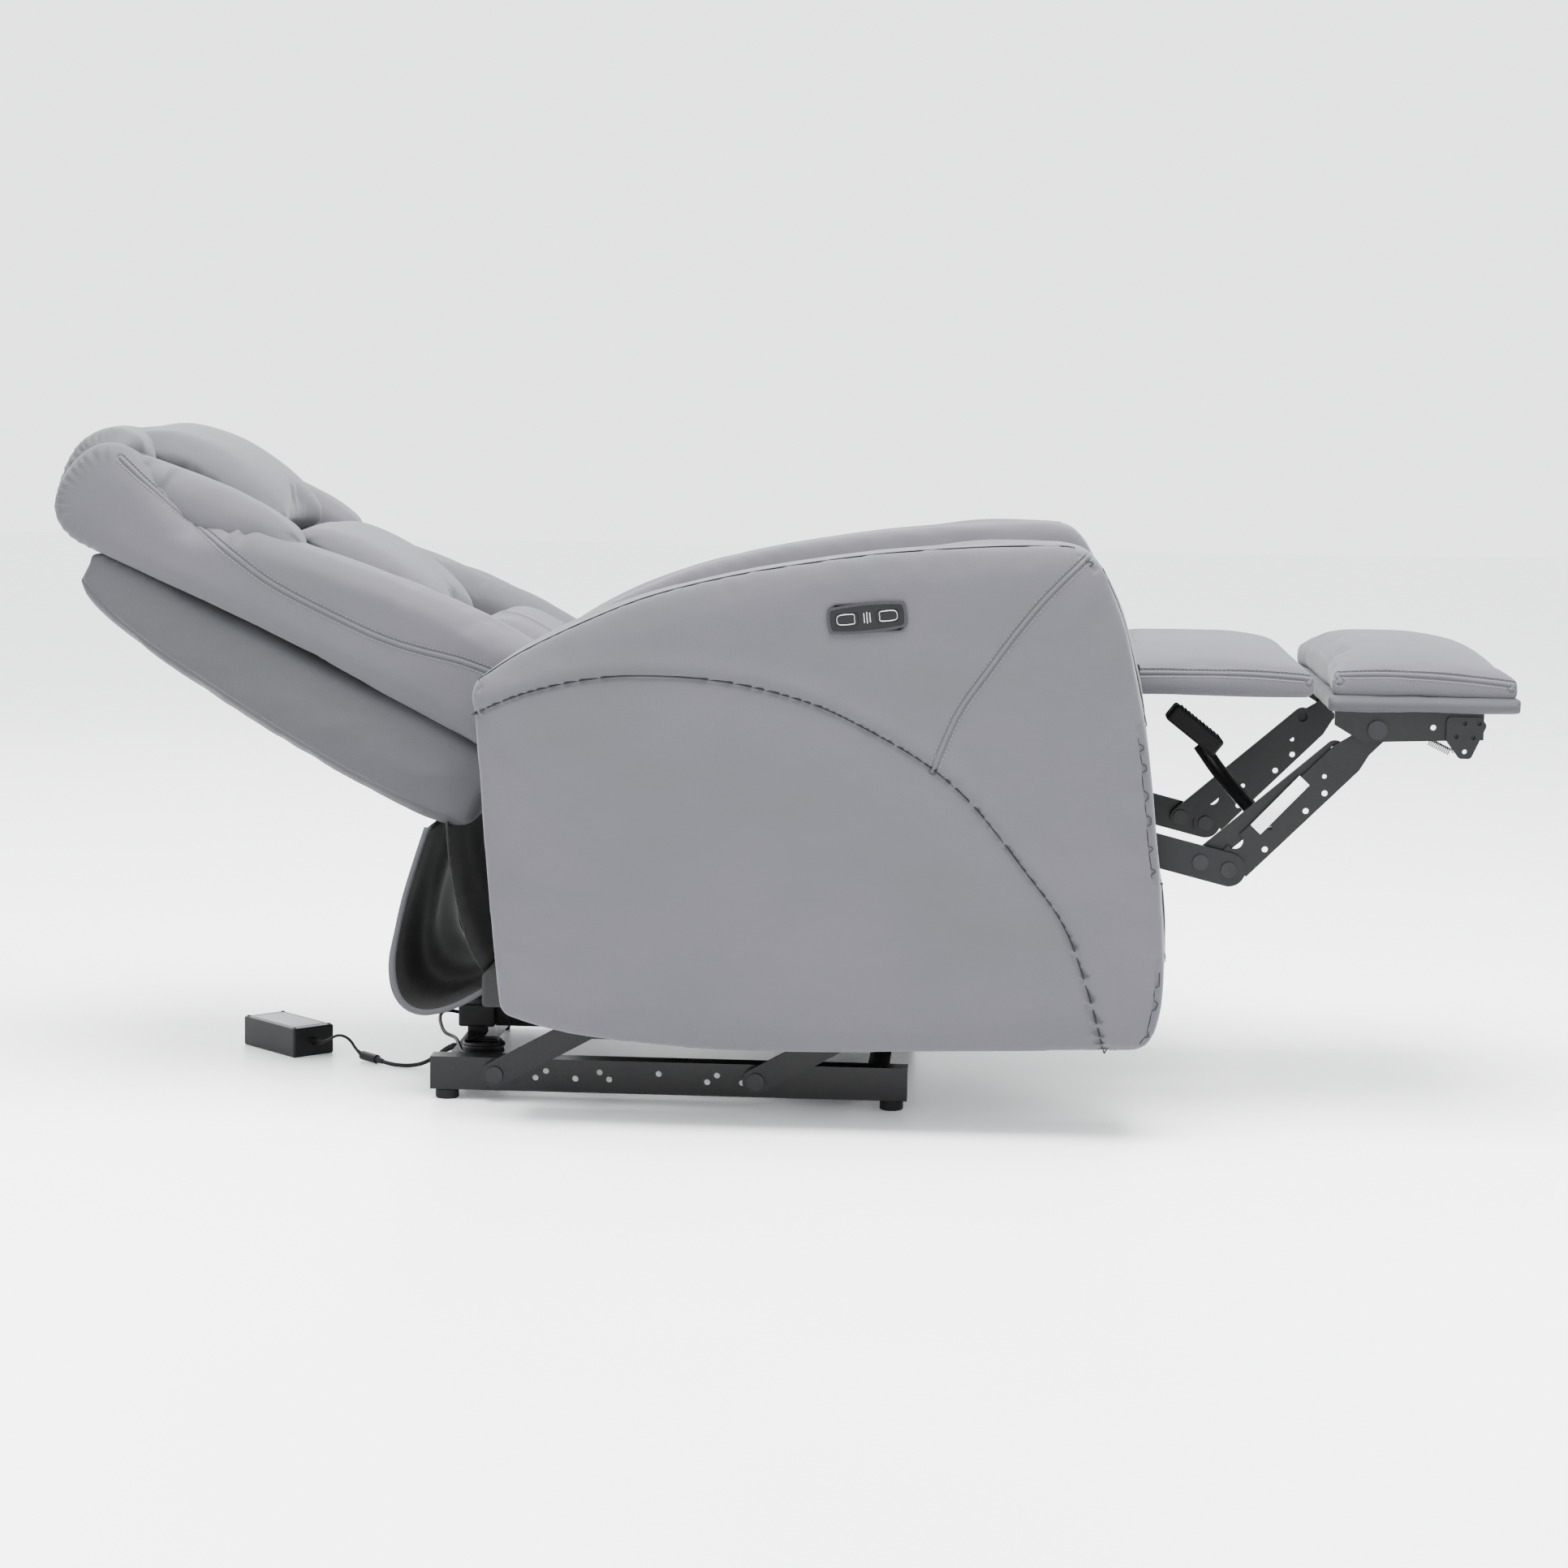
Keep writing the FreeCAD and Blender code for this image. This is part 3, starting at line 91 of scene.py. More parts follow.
# ---------------------------------------------------------------- materials
class Nodes:
    """Small helper around one material's node tree."""

    def __init__(self, name):
        self.material = bpy.data.materials.new(name)
        self.material.use_nodes = True
        self.tree = self.material.node_tree
        self.shader = self.tree.nodes["Principled BSDF"]
        self.coord = self.tree.nodes.new("ShaderNodeTexCoord").outputs["Object"]
        self.output = None

    def add(self, kind, **values):
        node = self.tree.nodes.new(kind)
        for key, value in values.items():
            if key in node.inputs:
                node.inputs[key].default_value = value
            else:
                setattr(node, key, value)
        return node

    def link(self, a, b):
        self.tree.links.new(a, b)

    def noise(self, scale, detail=4.0, rough=0.5, stretch=None):
        node = self.add("ShaderNodeTexNoise", Scale=scale, Detail=detail, Roughness=rough)
        source = self.coord
        if stretch:
            mapping = self.add("ShaderNodeMapping")
            mapping.inputs["Scale"].default_value = stretch
            self.link(source, mapping.inputs["Vector"])
            source = mapping.outputs["Vector"]
        self.link(source, node.inputs["Vector"])
        return node.outputs["Fac"]

    def ramp(self, source, stops):
        node = self.add("ShaderNodeValToRGB")
        elements = node.color_ramp.elements
        while len(elements) < len(stops):
            elements.new(0.5)
        for element, (place, colour) in zip(elements, stops):
            element.position = place
            element.color = (*colour, 1.0) if hasattr(colour, "__len__") else (colour,) * 3 + (1.0,)
        self.link(source, node.inputs["Fac"])
        return node.outputs["Color"]

    def mix(self, a, b, factor=0.5, how="MIX"):
        node = self.add("ShaderNodeMix", data_type="RGBA", blend_type=how)
        for value, socket in ((a, node.inputs["A"]), (b, node.inputs["B"])):
            if hasattr(value, "links"):
                self.link(value, socket)
            else:
                socket.default_value = (*value, 1.0)
        if hasattr(factor, "links"):
            self.link(factor, node.inputs["Factor"])
        else:
            node.inputs["Factor"].default_value = factor
        return node.outputs["Result"]

    def bump(self, height, strength, distance):
        node = self.add("ShaderNodeBump", Strength=strength, Distance=distance)
        self.link(height, node.inputs["Height"])
        if self.output:
            self.link(self.output, node.inputs["Normal"])
        self.output = node.outputs["Normal"]
        self.link(self.output, self.shader.inputs["Normal"])

    def set(self, **values):
        for key, value in values.items():
            self.shader.inputs[key.replace("_", " ")].default_value = value


def scaled(colour, k):
    return tuple(min(1.0, c * k) for c in colour)


def velvet(name, colour, sheen=0.4):
    """Short-pile velvet: brushed patches, fine pile, soft sheen."""
    n = Nodes(name)
    warm = (colour[0] * 0.95, colour[1] * 1.01, colour[2] * 0.93)
    patches = n.noise(4.2, 4.0, 0.55, (1.0, 1.0, 1.7))
    brushed = n.noise(27.0, 6.0, 0.62, (0.45, 1.0, 1.3))
    pile = n.noise(1300.0, 3.0, 0.7)
    base = n.ramp(patches, ((0.32, scaled(warm, 0.96)), (0.68, scaled(colour, 1.05))))
    base = n.mix(base, n.ramp(brushed, ((0.28, 0.43), (0.72, 0.57))), 0.30, "OVERLAY")
    base = n.mix(base, n.ramp(pile, ((0.25, 0.34), (0.75, 0.66))), 0.35, "OVERLAY")
    n.link(base, n.shader.inputs["Base Color"])
    n.link(n.ramp(brushed, ((0.3, 0.74), (0.7, 0.88))), n.shader.inputs["Roughness"])
    n.set(Sheen_Weight=sheen, Sheen_Roughness=0.38, Sheen_Tint=(0.84, 0.90, 0.91, 1.0))
    n.set(Specular_IOR_Level=0.22)
    n.bump(brushed, 0.22, 0.0007)
    n.bump(pile, 0.35, 0.0004)
    return n.material


def painted(name, colour, rough=0.42, metal=0.0, grain=900.0, depth=0.25, coat=0.0, shine=0.16):
    """Painted, coated or moulded surface with a fine grain and handling marks."""
    n = Nodes(name)
    cloud = n.noise(14.0, 5.0, 0.6)
    fine = n.noise(grain, 3.0, 0.6)
    base = n.ramp(cloud, ((0.25, scaled(colour, 0.75)), (0.75, scaled(colour, 1.30))))
    base = n.mix(base, n.ramp(fine, ((0.2, 0.42), (0.8, 0.58))), 0.3, "OVERLAY")
    n.link(base, n.shader.inputs["Base Color"])
    n.link(n.ramp(cloud, ((0.2, rough - 0.07), (0.8, rough + 0.10))), n.shader.inputs["Roughness"])
    n.set(Metallic=metal, Coat_Weight=coat, Coat_Roughness=0.12, Specular_IOR_Level=shine)
    n.bump(fine, depth, 0.0003)
    return n.material


def brushed(name, colour, rough=0.3, stretch=(1.0, 40.0, 1.0)):
    """Metal with fine lines along one direction."""
    n = Nodes(name)
    lines = n.noise(220.0, 4.0, 0.6, stretch)
    cloud = n.noise(20.0, 4.0, 0.5)
    base = n.ramp(cloud, ((0.3, scaled(colour, 0.85)), (0.7, scaled(colour, 1.15))))
    n.link(base, n.shader.inputs["Base Color"])
    n.link(n.ramp(lines, ((0.3, rough - 0.08), (0.7, rough + 0.12))), n.shader.inputs["Roughness"])
    n.set(Metallic=1.0)
    n.bump(lines, 0.15, 0.0002)
    return n.material


def timber(name, colour):
    n = Nodes(name)
    rings = n.noise(26.0, 6.0, 0.62, (0.6, 6.0, 6.0))
    pores = n.noise(420.0, 3.0, 0.6, (0.12, 1.0, 1.0))
    base = n.ramp(rings, ((0.30, scaled(colour, 0.72)), (0.5, colour), (0.72, scaled(colour, 1.15))))
    base = n.mix(base, n.ramp(pores, ((0.3, 0.34), (0.6, 0.55))), 0.4, "OVERLAY")
    n.link(base, n.shader.inputs["Base Color"])
    n.link(n.ramp(pores, ((0.2, 0.62), (0.8, 0.80))), n.shader.inputs["Roughness"])
    n.bump(pores, 0.3, 0.0003)
    return n.material


def woven(name, colour):
    """Plain-woven backing cloth."""
    n = Nodes(name)
    threads = []
    for direction in ("X", "Z"):
        wave = n.add("ShaderNodeTexWave", bands_direction=direction, Scale=260.0, Distortion=0.6)
        n.link(n.coord, wave.inputs["Vector"])
        threads.append(wave.outputs["Color"])
    weave = n.mix(threads[0], threads[1], 0.5)
    cloud = n.noise(9.0, 4.0, 0.55)
    base = n.ramp(cloud, ((0.25, scaled(colour, 0.7)), (0.75, scaled(colour, 1.4))))
    base = n.mix(base, weave, 0.18, "OVERLAY")
    n.link(base, n.shader.inputs["Base Color"])
    n.link(n.ramp(cloud, ((0.2, 0.82), (0.8, 0.95))), n.shader.inputs["Roughness"])
    n.bump(weave, 0.4, 0.0004)
    return n.material


def studio_floor():
    """Pale smooth sheet with a faint mottle."""
    n = Nodes("floor")
    cloud = n.noise(3.0, 4.0, 0.5)
    base = n.ramp(cloud, ((0.3, (0.885, 0.895, 0.897)), (0.7, (0.905, 0.912, 0.914))))
    n.link(base, n.shader.inputs["Base Color"])
    n.link(n.ramp(cloud, ((0.2, 0.30), (0.8, 0.36))), n.shader.inputs["Roughness"])
    return n.material


VELVET = velvet("velvet", (0.0555, 0.0530, 0.0625), 0.13)
# Darker copy of the same velvet, about 0.7 of its colour, for the back shell, back panel, footrest wrap and rear
# flap: painted shade for pieces at the back and underneath.
VELVET_SHADED = velvet("velvet_shell", (0.0385, 0.0380, 0.0435), 0.10)
# Near-black velvet for thin tubes laid along the arm seams: painted shade, a dark line standing in for the shadow in
# the sewn lines.
SEAM_SHADE = velvet("seam_shadow", (0.011, 0.011, 0.013), 0.05)
THREAD = velvet("thread", (0.095, 0.095, 0.103), 0.10)
LINING = woven("lining", (0.006, 0.006, 0.0065))
STEEL = painted("black_steel", (0.0045, 0.0045, 0.005), 0.30, 0.0, 700.0, 0.18)
BOLT = painted("bolt_steel", (0.012, 0.012, 0.013), 0.28, 0.3, 500.0, 0.15)
RUBBER = painted("black_rubber", (0.0045, 0.0045, 0.005), 0.68, 0.0, 600.0, 0.5)
HOUSING = painted("drive_housing", (0.0065, 0.0065, 0.007), 0.46, 0.0, 1100.0, 0.4)
SLIDER = painted("slider_plastic", (0.012, 0.012, 0.013), 0.5)
CORD = painted("cord_black", (0.0045, 0.0045, 0.005), 0.45, 0.0, 800.0, 0.2)
CASE = painted("adapter_plastic", (0.0045, 0.0045, 0.005), 0.38, 0.0, 1300.0, 0.35)
LABEL = painted("plain_label", (0.26, 0.27, 0.28), 0.45, 0.0, 500.0, 0.1)
WHITE = painted("plain_sticker", (0.62, 0.63, 0.63), 0.5, 0.0, 500.0, 0.1)
GLOSS = painted("switch_gloss", (0.002, 0.002, 0.0022), 0.16, 0.0, 300.0, 0.03, 0.15)
BEZEL = brushed("bezel_metal", (0.035, 0.035, 0.038), 0.26)
MARK = brushed("switch_mark", (0.30, 0.31, 0.32), 0.3)
SPRING = brushed("spring_steel", (0.16, 0.16, 0.165), 0.28)
WOOD = timber("timber", (0.26, 0.19, 0.12))
FLOOR = studio_floor()

SLOT_MATERIALS = {
    "black_steel": STEEL,
    "bolt_steel": BOLT,
    "black_rubber": RUBBER,
    "drive_housing": HOUSING,
    "slider_plastic": SLIDER,
    "cord_black": CORD,
    "adapter_plastic": CASE,
    "switch_gloss": GLOSS,
    "bezel_metal": BEZEL,
    "timber": WOOD,
    "velvet": VELVET,
}


def paint_cad_nodes():
    """Every CAD node that stays in view gets its slot's material."""
    slots = {s["node"]: s["material_slot"] for s in frame["record"]["subparts"]}
    for name, node in frame["nodes"].items():
        material = SLOT_MATERIALS[slots[name]]
        if not node.material_slots:
            node.data.materials.append(material)
        for place in node.material_slots:
            place.material = material


paint_cad_nodes()


# ---------------------------------------------------------------- cords
GLAND_TO_PLUG = [
    (-0.395, -0.048, 0.028),
    (-0.404, -0.0485, 0.025),
    (-0.416, -0.0495, 0.016),
    (-0.432, -0.051, 0.006),
    (-0.448, -0.052, 0.0028),
    (-0.466, -0.050, 0.0028),
    (-0.481, -0.0434, 0.0042),
    (-0.492, -0.034, 0.006),
]
PLUG_TO_ADAPTER = [
    (-0.513, -0.016, 0.007),
    (-0.522, -0.008, 0.011),
    (-0.530, -0.008, 0.025),
    (-0.543, -0.014, 0.032),
    (-0.558, -0.011, 0.022),
    (-0.5696, 0.0006, 0.018),
]
GEARBOX_TO_COIL = [
    (-0.394, -0.012, 0.062),
    (-0.403, -0.021, 0.066),
    (-0.411, -0.035, 0.068),
    (-0.413, -0.053, 0.065),
    (-0.408, -0.074, 0.058),
    (-0.400, -0.094, 0.052),
    (-0.387, -0.108, 0.051),
    (-0.380, -0.124, 0.050),
]


def link_object(name, data):
    obj = bpy.data.objects.new(name, data)
    bpy.context.collection.objects.link(obj)
    return obj


def cord_curve(name, points, radius, material):
    data = bpy.data.curves.new(name, "CURVE")
    data.dimensions = "3D"
    data.bevel_depth = radius
    data.bevel_resolution = 5
    data.resolution_u = 10
    data.use_fill_caps = True
    spline = data.splines.new("NURBS")
    spline.points.add(len(points) - 1)
    for place, point in zip(spline.points, points):
        place.co = (*point, 1.0)
    spline.order_u = 3
    spline.use_endpoint_u = True
    data.materials.append(material)
    return link_object(name, data)


def coil_points():
    """Loose turns of spare cable on the rear cross tube."""
    low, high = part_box("cable_bundle")
    centre = (low + high) / 2
    turns, per_turn = 4, 14
    start = math.radians(195)
    points = []
    for i in range(turns * per_turn):
        t = i / per_turn
        a = start + t * 2 * math.pi
        reach = 0.0245 - 0.0022 * (i / per_turn % 2) + 0.0012 * math.sin(2.3 * a + i * 0.21)
        lift = low.z + 0.004 + 0.0031 * t + 0.0008 * math.sin(3.0 * a)
        points.append((centre.x + reach * math.cos(a), centre.y + reach * math.sin(a), lift))
    return points


def make_cords():
    lead = cord_curve("power_lead_cord", GLAND_TO_PLUG, 0.0025, CORD)
    thin = cord_curve("adapter_lead_cord", PLUG_TO_ADAPTER, 0.00175, CORD)
    motor = cord_curve("motor_cable_cord", GEARBOX_TO_COIL + coil_points(), 0.0022, CORD)
    for piece, node in ((lead, "power_lead"), (thin, "adapter_lead"), (motor, "motor_cable")):
        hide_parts(node)
        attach(piece, "base")
    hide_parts("cable_bundle")
    reliefs = make_reliefs()
    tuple(GLAND_TO_PLUG[0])
    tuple(PLUG_TO_ADAPTER[0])
    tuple(GEARBOX_TO_COIL[0])


# ---------------------------------------------------------------- mesh helpers
def mesh_object(name, vertices, faces, material=None):
    mesh = bpy.data.meshes.new(name)
    mesh.from_pydata([tuple(v) for v in vertices], [], faces)
    mesh.validate()
    bm = bmesh.new()
    bm.from_mesh(mesh)
    bmesh.ops.recalc_face_normals(bm, faces=bm.faces)
    bm.to_mesh(mesh)
    bm.free()
    if material:
        mesh.materials.append(material)
    return link_object(name, mesh)


def smooth_line(points, step=0.008, closed=False):
    """Catmull-Rom curve through points, sampled every step metres."""
    pts = [Vector(p) for p in points]
    count = len(pts)
    out = []
    for i in range(count if closed else count - 1):
        if closed:
            a, b, c, d = (pts[(i + k) % count] for k in (-1, 0, 1, 2))
        else:
            b, c = pts[i], pts[i + 1]
            a = pts[i - 1] if i else b * 2 - c
            d = pts[i + 2] if i + 2 < count else c * 2 - b
        parts = max(1, int((c - b).length / step))
        for k in range(parts):
            t = k / parts
            out.append(0.5 * ((2 * b) + (c - a) * t + (2 * a - 5 * b + 4 * c - d) * t * t
                              + (3 * b - a - 3 * c + d) * t ** 3))
    if not closed:
        out.append(pts[-1])
    return out


def inset(outline, amount):
    """Closed XZ outline moved inwards."""
    count = len(outline)
    area = sum(outline[i].x * outline[(i + 1) % count].y - outline[(i + 1) % count].x * outline[i].y
               for i in range(count))
    side = 1.0 if area > 0 else -1.0
    result = []
    for i in range(count):
        run = outline[(i + 1) % count] - outline[i - 1]
        if run.length < 1e-9:
            result.append(outline[i])
            continue
        run.normalize()
        result.append(outline[i] + Vector((-run.y, run.x)) * side * amount)
    return result


def prism(name, outline, y0, y1, taper=0.0):
    """Closed solid from an XZ outline between two Y levels; the ends may be inset."""
    ring = [Vector((p[0], p[1])) for p in outline]
    end = inset(ring, taper) if taper else ring
    rise = min(taper, abs(y1 - y0) * 0.3) * (1 if y1 > y0 else -1)
    levels = [(end, y0), (ring, y0 + rise), (ring, y1 - rise), (end, y1)] if taper else [(ring, y0), (ring, y1)]
    vertices = [(p.x, y, p.y) for points, y in levels for p in points]
    count = len(ring)
    faces = []
    for k in range(len(levels) - 1):
        for i in range(count):
            j = (i + 1) % count
            faces.append((k * count + i, k * count + j, (k + 1) * count + j, (k + 1) * count + i))
    faces.append(tuple(range(count)))
    faces.append(tuple(reversed(range((len(levels) - 1) * count, len(levels) * count))))
    return mesh_object(name, vertices, faces)


def crowned_pad(name, x, half, bottom, seam, crown, nx=40, ny=40):
    """Pad with flat underside, upright border up to the seam and a domed top.

    crown(u, v) gives the height above the seam for u, v from -1 to 1.
    """
    vertices = []
    faces = []
    for i in range(nx + 1):
        for j in range(ny + 1):
            u, v = 2 * i / nx - 1, 2 * j / ny - 1
            px = x[0] + (u + 1) / 2 * (x[1] - x[0])
            vertices.append((px, v * half, seam + crown(u, v)))
    step = ny + 1
    for i in range(nx):
        for j in range(ny):
            a = i * step + j
            faces.append((a, a + step, a + step + 1, a + 1))
    rim = [i * step for i in range(nx + 1)]
    rim += [nx * step + j for j in range(1, ny + 1)]
    rim += [i * step + ny for i in range(nx - 1, -1, -1)]
    rim += [j for j in range(ny - 1, 0, -1)]
    start = len(vertices)
    for k in rim:
        vertices.append((vertices[k][0], vertices[k][1], bottom))
    count = len(rim)
    for k in range(count):
        m = (k + 1) % count
        faces.append((rim[k], rim[m], start + m, start + k))
    faces.append(tuple(start + k for k in range(count)))
    return mesh_object(name, vertices, faces)


def coordinates(mesh):
    co = np.empty(len(mesh.vertices) * 3, np.float32)
    mesh.vertices.foreach_get("co", co)
    return co.reshape(-1, 3).astype(float)


def put_coordinates(mesh, co):
    mesh.vertices.foreach_set("co", np.asarray(co, np.float32).ravel())
    mesh.update()


def bake_modifiers(obj):
    """Replaces the mesh by what its modifiers make of it."""
    graph = bpy.context.evaluated_depsgraph_get()
    mesh = bpy.data.meshes.new_from_object(obj.evaluated_get(graph))
    obj.modifiers.clear()
    old = obj.data
    obj.data = mesh
    bpy.data.meshes.remove(old)


def inflate(obj, voxel=0.006, cap=0.010, pressure=4.0, rounding=6, finer=1, frames=20):
    """Stuffs a closed shape: remesh, cloth under pressure, capped movement, subdivision."""
    remesh = obj.modifiers.new("remesh", "REMESH")
    remesh.mode = "VOXEL"
    remesh.voxel_size = voxel
    smooth = obj.modifiers.new("smooth", "SMOOTH")
    smooth.factor = 0.5
    smooth.iterations = rounding
    bake_modifiers(obj)
    start = coordinates(obj.data)
    scene = bpy.context.scene
    scene.frame_set(1)
    cloth = obj.modifiers.new("cloth", "CLOTH")
    settings = cloth.settings
    settings.quality = 4
    settings.use_pressure = True
    settings.uniform_pressure_force = pressure
    settings.effector_weights.gravity = 0.0
    settings.tension_stiffness = 20.0
    settings.compression_stiffness = 20.0
    settings.bending_stiffness = 0.6
    cloth.point_cache.frame_start = 1
    cloth.point_cache.frame_end = frames
    cloth.collision_settings.use_collision = False
    for step in range(1, frames + 1):
        scene.frame_set(step)
    graph = bpy.context.evaluated_depsgraph_get()
    swollen = bpy.data.meshes.new_from_object(obj.evaluated_get(graph))
    move = coordinates(swollen) - start
    bpy.data.meshes.remove(swollen)
    obj.modifiers.clear()
    scene.frame_set(1)
    length = np.linalg.norm(move, axis=1, keepdims=True)
    soft_cap = cap * np.tanh(length / cap)
    put_coordinates(obj.data, start + move * soft_cap / np.maximum(length, 1e-9))
    relax = obj.modifiers.new("relax", "SMOOTH")
    relax.factor = 0.5
    relax.iterations = 2
    if finer:
        divide = obj.modifiers.new("finer", "SUBSURF")
        divide.levels = finer
        divide.render_levels = finer
    bake_modifiers(obj)
    obj.data.polygons.foreach_set("use_smooth", [True] * len(obj.data.polygons))
    return obj


def distance_to(co, path):
    """Distance of each point to a line through path, and the place along it."""
    best = np.full(len(co), 1e9)
    place = np.zeros(len(co))
    path = np.array([tuple(p) for p in path], float)
    low, high = path.min(0) - 0.05, path.max(0) + 0.05
    near = np.where(((co > low) & (co < high)).all(1))[0]
    points = co[near]
    length = 0.0
    for a, b in zip(path[:-1], path[1:]):
        run = b - a
        size = float(np.linalg.norm(run))
        if size < 1e-9:
            continue
        t = np.clip((points - a) @ run / size ** 2, 0, 1)
        d = np.linalg.norm(points - (a + t[:, None] * run), axis=1)
        closer = d < best[near]
        index = near[closer]
        best[index] = d[closer]
        place[index] = length + t[closer] * size
        length += size
    return best, place


def refine(obj, path, reach, rounds=1):
    """Splits the mesh's edges near a line."""
    bm = bmesh.new()
    bm.from_mesh(obj.data)
    for k in range(rounds):
        bm.verts.ensure_lookup_table()
        co = np.array([v.co for v in bm.verts], float)
        d, _ = distance_to(co, path)
        wide = reach if k else reach * 1.4
        edges = [e for e in bm.edges if d[e.verts[0].index] < wide and d[e.verts[1].index] < wide]
        bmesh.ops.subdivide_edges(bm, edges=edges, cuts=1, use_grid_fill=True)
        bm.verts.index_update()
    bm.to_mesh(obj.data)
    bm.free()
    obj.data.polygons.foreach_set("use_smooth", [True] * len(obj.data.polygons))


def shape_along(obj, path, profile, reach=0.03):
    """Moves the surface along its normals by profile(distance, place)."""
    co = coordinates(obj.data)
    normals = np.empty(len(co) * 3, np.float32)
    obj.data.vertices.foreach_get("normal", normals)
    normals = normals.reshape(-1, 3)
    d, place = distance_to(co, path)
    near = d < reach
    push = np.zeros(len(co))
    push[near] = profile(d[near], place[near])
    put_coordinates(obj.data, co + normals * push[:, None])


def groove(obj, path, depth=0.003, width=0.004, shoulder=0.0, fine=1):
    """Sewn line: a narrow valley with softly raised sides."""
    if fine:
        refine(obj, path, width * 2.2, fine)
    shape_along(obj, path, lambda d, s: -depth * np.exp(-(d / width) ** 2)
                + shoulder * np.exp(-((d - 2.6 * width) / (1.6 * width)) ** 2), width * 8)


def felled(obj, path, half=0.0032, depth=0.0016, height=0.0007):
    """Flat-felled seam: a low ridge between two sewn lines."""
    refine(obj, path, half * 3.2, 2)
    shape_along(obj, path, lambda d, s: -depth * np.exp(-((d - half) / 0.0013) ** 2)
                + height * np.exp(-(d / (half * 0.6)) ** 2), half * 6)


def puckers(obj, path, depth, reach, pitch, seed=0.0):
    """Gathers that fade away from a sewn edge."""
    def profile(d, s):
        phase = 2 * math.pi * s / pitch + 1.4 * np.sin(s * 61 + seed) + 0.8 * np.sin(s * 143 + 2 * seed)
        return depth * np.cos(phase) * np.exp(-(d / reach) ** 2)
    shape_along(obj, path, profile, reach * 3)


def crease_field(obj, amount, scale, seed, squeeze=(1.0, 1.0, 1.0)):
    """Broad uneven fullness of stuffed fabric."""
    mesh = obj.data
    co = coordinates(mesh)
    normals = np.empty(len(co) * 3, np.float32)
    mesh.vertices.foreach_get("normal", normals)
    normals = normals.reshape(-1, 3)
    push = np.empty(len(co))
    offset = Vector((seed * 7.3, seed * 3.1, seed * 5.7))
    for i, (x, y, z) in enumerate(co):
        place = Vector((x * squeeze[0], y * squeeze[1], z * squeeze[2])) * scale + offset
        push[i] = noise.noise(place) + 0.5 * noise.noise(place * 2.1)
    put_coordinates(mesh, co + normals * (push * amount)[:, None])


def tree_of(*objects):
    """Search tree over several objects' surfaces."""
    vertices, polygons = [], []
    for obj in objects:
        start = len(vertices)
        vertices += [obj.matrix_world @ v.co for v in obj.data.vertices]
        polygons += [tuple(start + i for i in p.vertices) for p in obj.data.polygons]
    return BVHTree.FromPolygons(vertices, polygons)


def drape(tree, points, direction, lift=0.0, far=0.6):
    """Points carried onto the surface along a direction, then lifted off it."""
    direction = Vector(direction).normalized()
    out = []
    for p in points:
        hit, normal, _, _ = tree.ray_cast(Vector(p) - direction * far, direction)
        if hit is None:
            hit, normal, _, _ = tree.find_nearest(Vector(p))
        if normal.dot(direction) > 0:
            normal = -normal
        out.append(hit + normal * lift)
    return out


def laid(piece, line, y):
    """The XZ line laid on the piece's face nearest to y."""
    return drape(tree_of(piece), at_y(line, y), (0, 1 if y < 0 else -1, 0))


def tube(name, path, radius, material, sides=8, closed=False):
    """Mesh tube along a path with parallel-carried frames."""
    pts = [Vector(p) for p in path]
    count = len(pts)
    vertices, faces = [], []
    reference = None
    for i, p in enumerate(pts):
        a = pts[i - 1] if (i or closed) else p
        b = pts[(i + 1) % count] if (i + 1 < count or closed) else p
        run = (b - a).normalized()
        if reference is None:
            reference = run.orthogonal().normalized()
        reference = (reference - run * reference.dot(run)).normalized()
        other = run.cross(reference)
        r = radius(i / max(1, count - 1)) if callable(radius) else radius
        for k in range(sides):
            angle = 2 * math.pi * k / sides
            vertices.append(p + (reference * math.cos(angle) + other * math.sin(angle)) * r)
    for i in range(count if closed else count - 1):
        j = (i + 1) % count
        for k in range(sides):
            m = (k + 1) % sides
            faces.append((i * sides + k, i * sides + m, j * sides + m, j * sides + k))
    if not closed:
        faces.append(tuple(range(sides)))
        faces.append(tuple(reversed(range((count - 1) * sides, count * sides))))
    obj = mesh_object(name, vertices, faces, material)
    obj.data.polygons.foreach_set("use_smooth", [len(p.vertices) == 4 for p in obj.data.polygons])
    return obj


def stitches(name, path, side, tree, offset, pitch=0.0046, length=0.0031, radius=0.00045):
    """Row of short threads beside a line on a surface; side is +1 or -1."""
    pts = [Vector(p) for p in path]
    vertices, faces = [], []
    travelled, due = 0.0, 0.0
    for a, b in zip(pts[:-1], pts[1:]):
        run = b - a
        size = run.length
        if size < 1e-7:
            continue
        run /= size
        while due <= travelled + size:
            p = a + run * (due - travelled)
            hit, normal, _, _ = tree.find_nearest(p)
            due += pitch
            if hit is None:
                continue
            across = normal.cross(run).normalized()
            hit, normal, _, _ = tree.find_nearest(p + across * side * offset)
            across = normal.cross(run).normalized()
            start = len(vertices)
            for along, r in ((-0.5, 0.35), (-0.3, 1.0), (0.3, 1.0), (0.5, 0.35)):
                centre = hit + run * along * length + normal * radius * (0.4 if abs(along) > 0.4 else 0.9)
                for k in range(5):
                    angle = 2 * math.pi * k / 5
                    spoke = normal * math.cos(angle) + across * math.sin(angle)
                    vertices.append(centre + spoke * radius * r)
            for m in range(3):
                for k in range(5):
                    n = (k + 1) % 5
                    faces.append((start + m * 5 + k, start + m * 5 + n, start + m * 5 + 5 + n, start + m * 5 + 5 + k))
            faces.append(tuple(start + k for k in range(5)))
            faces.append(tuple(start + 15 + k for k in range(4, -1, -1)))
        travelled += size
    obj = mesh_object(name, vertices, faces, THREAD)
    obj.data.polygons.foreach_set("use_smooth", [True] * len(obj.data.polygons))
    return obj


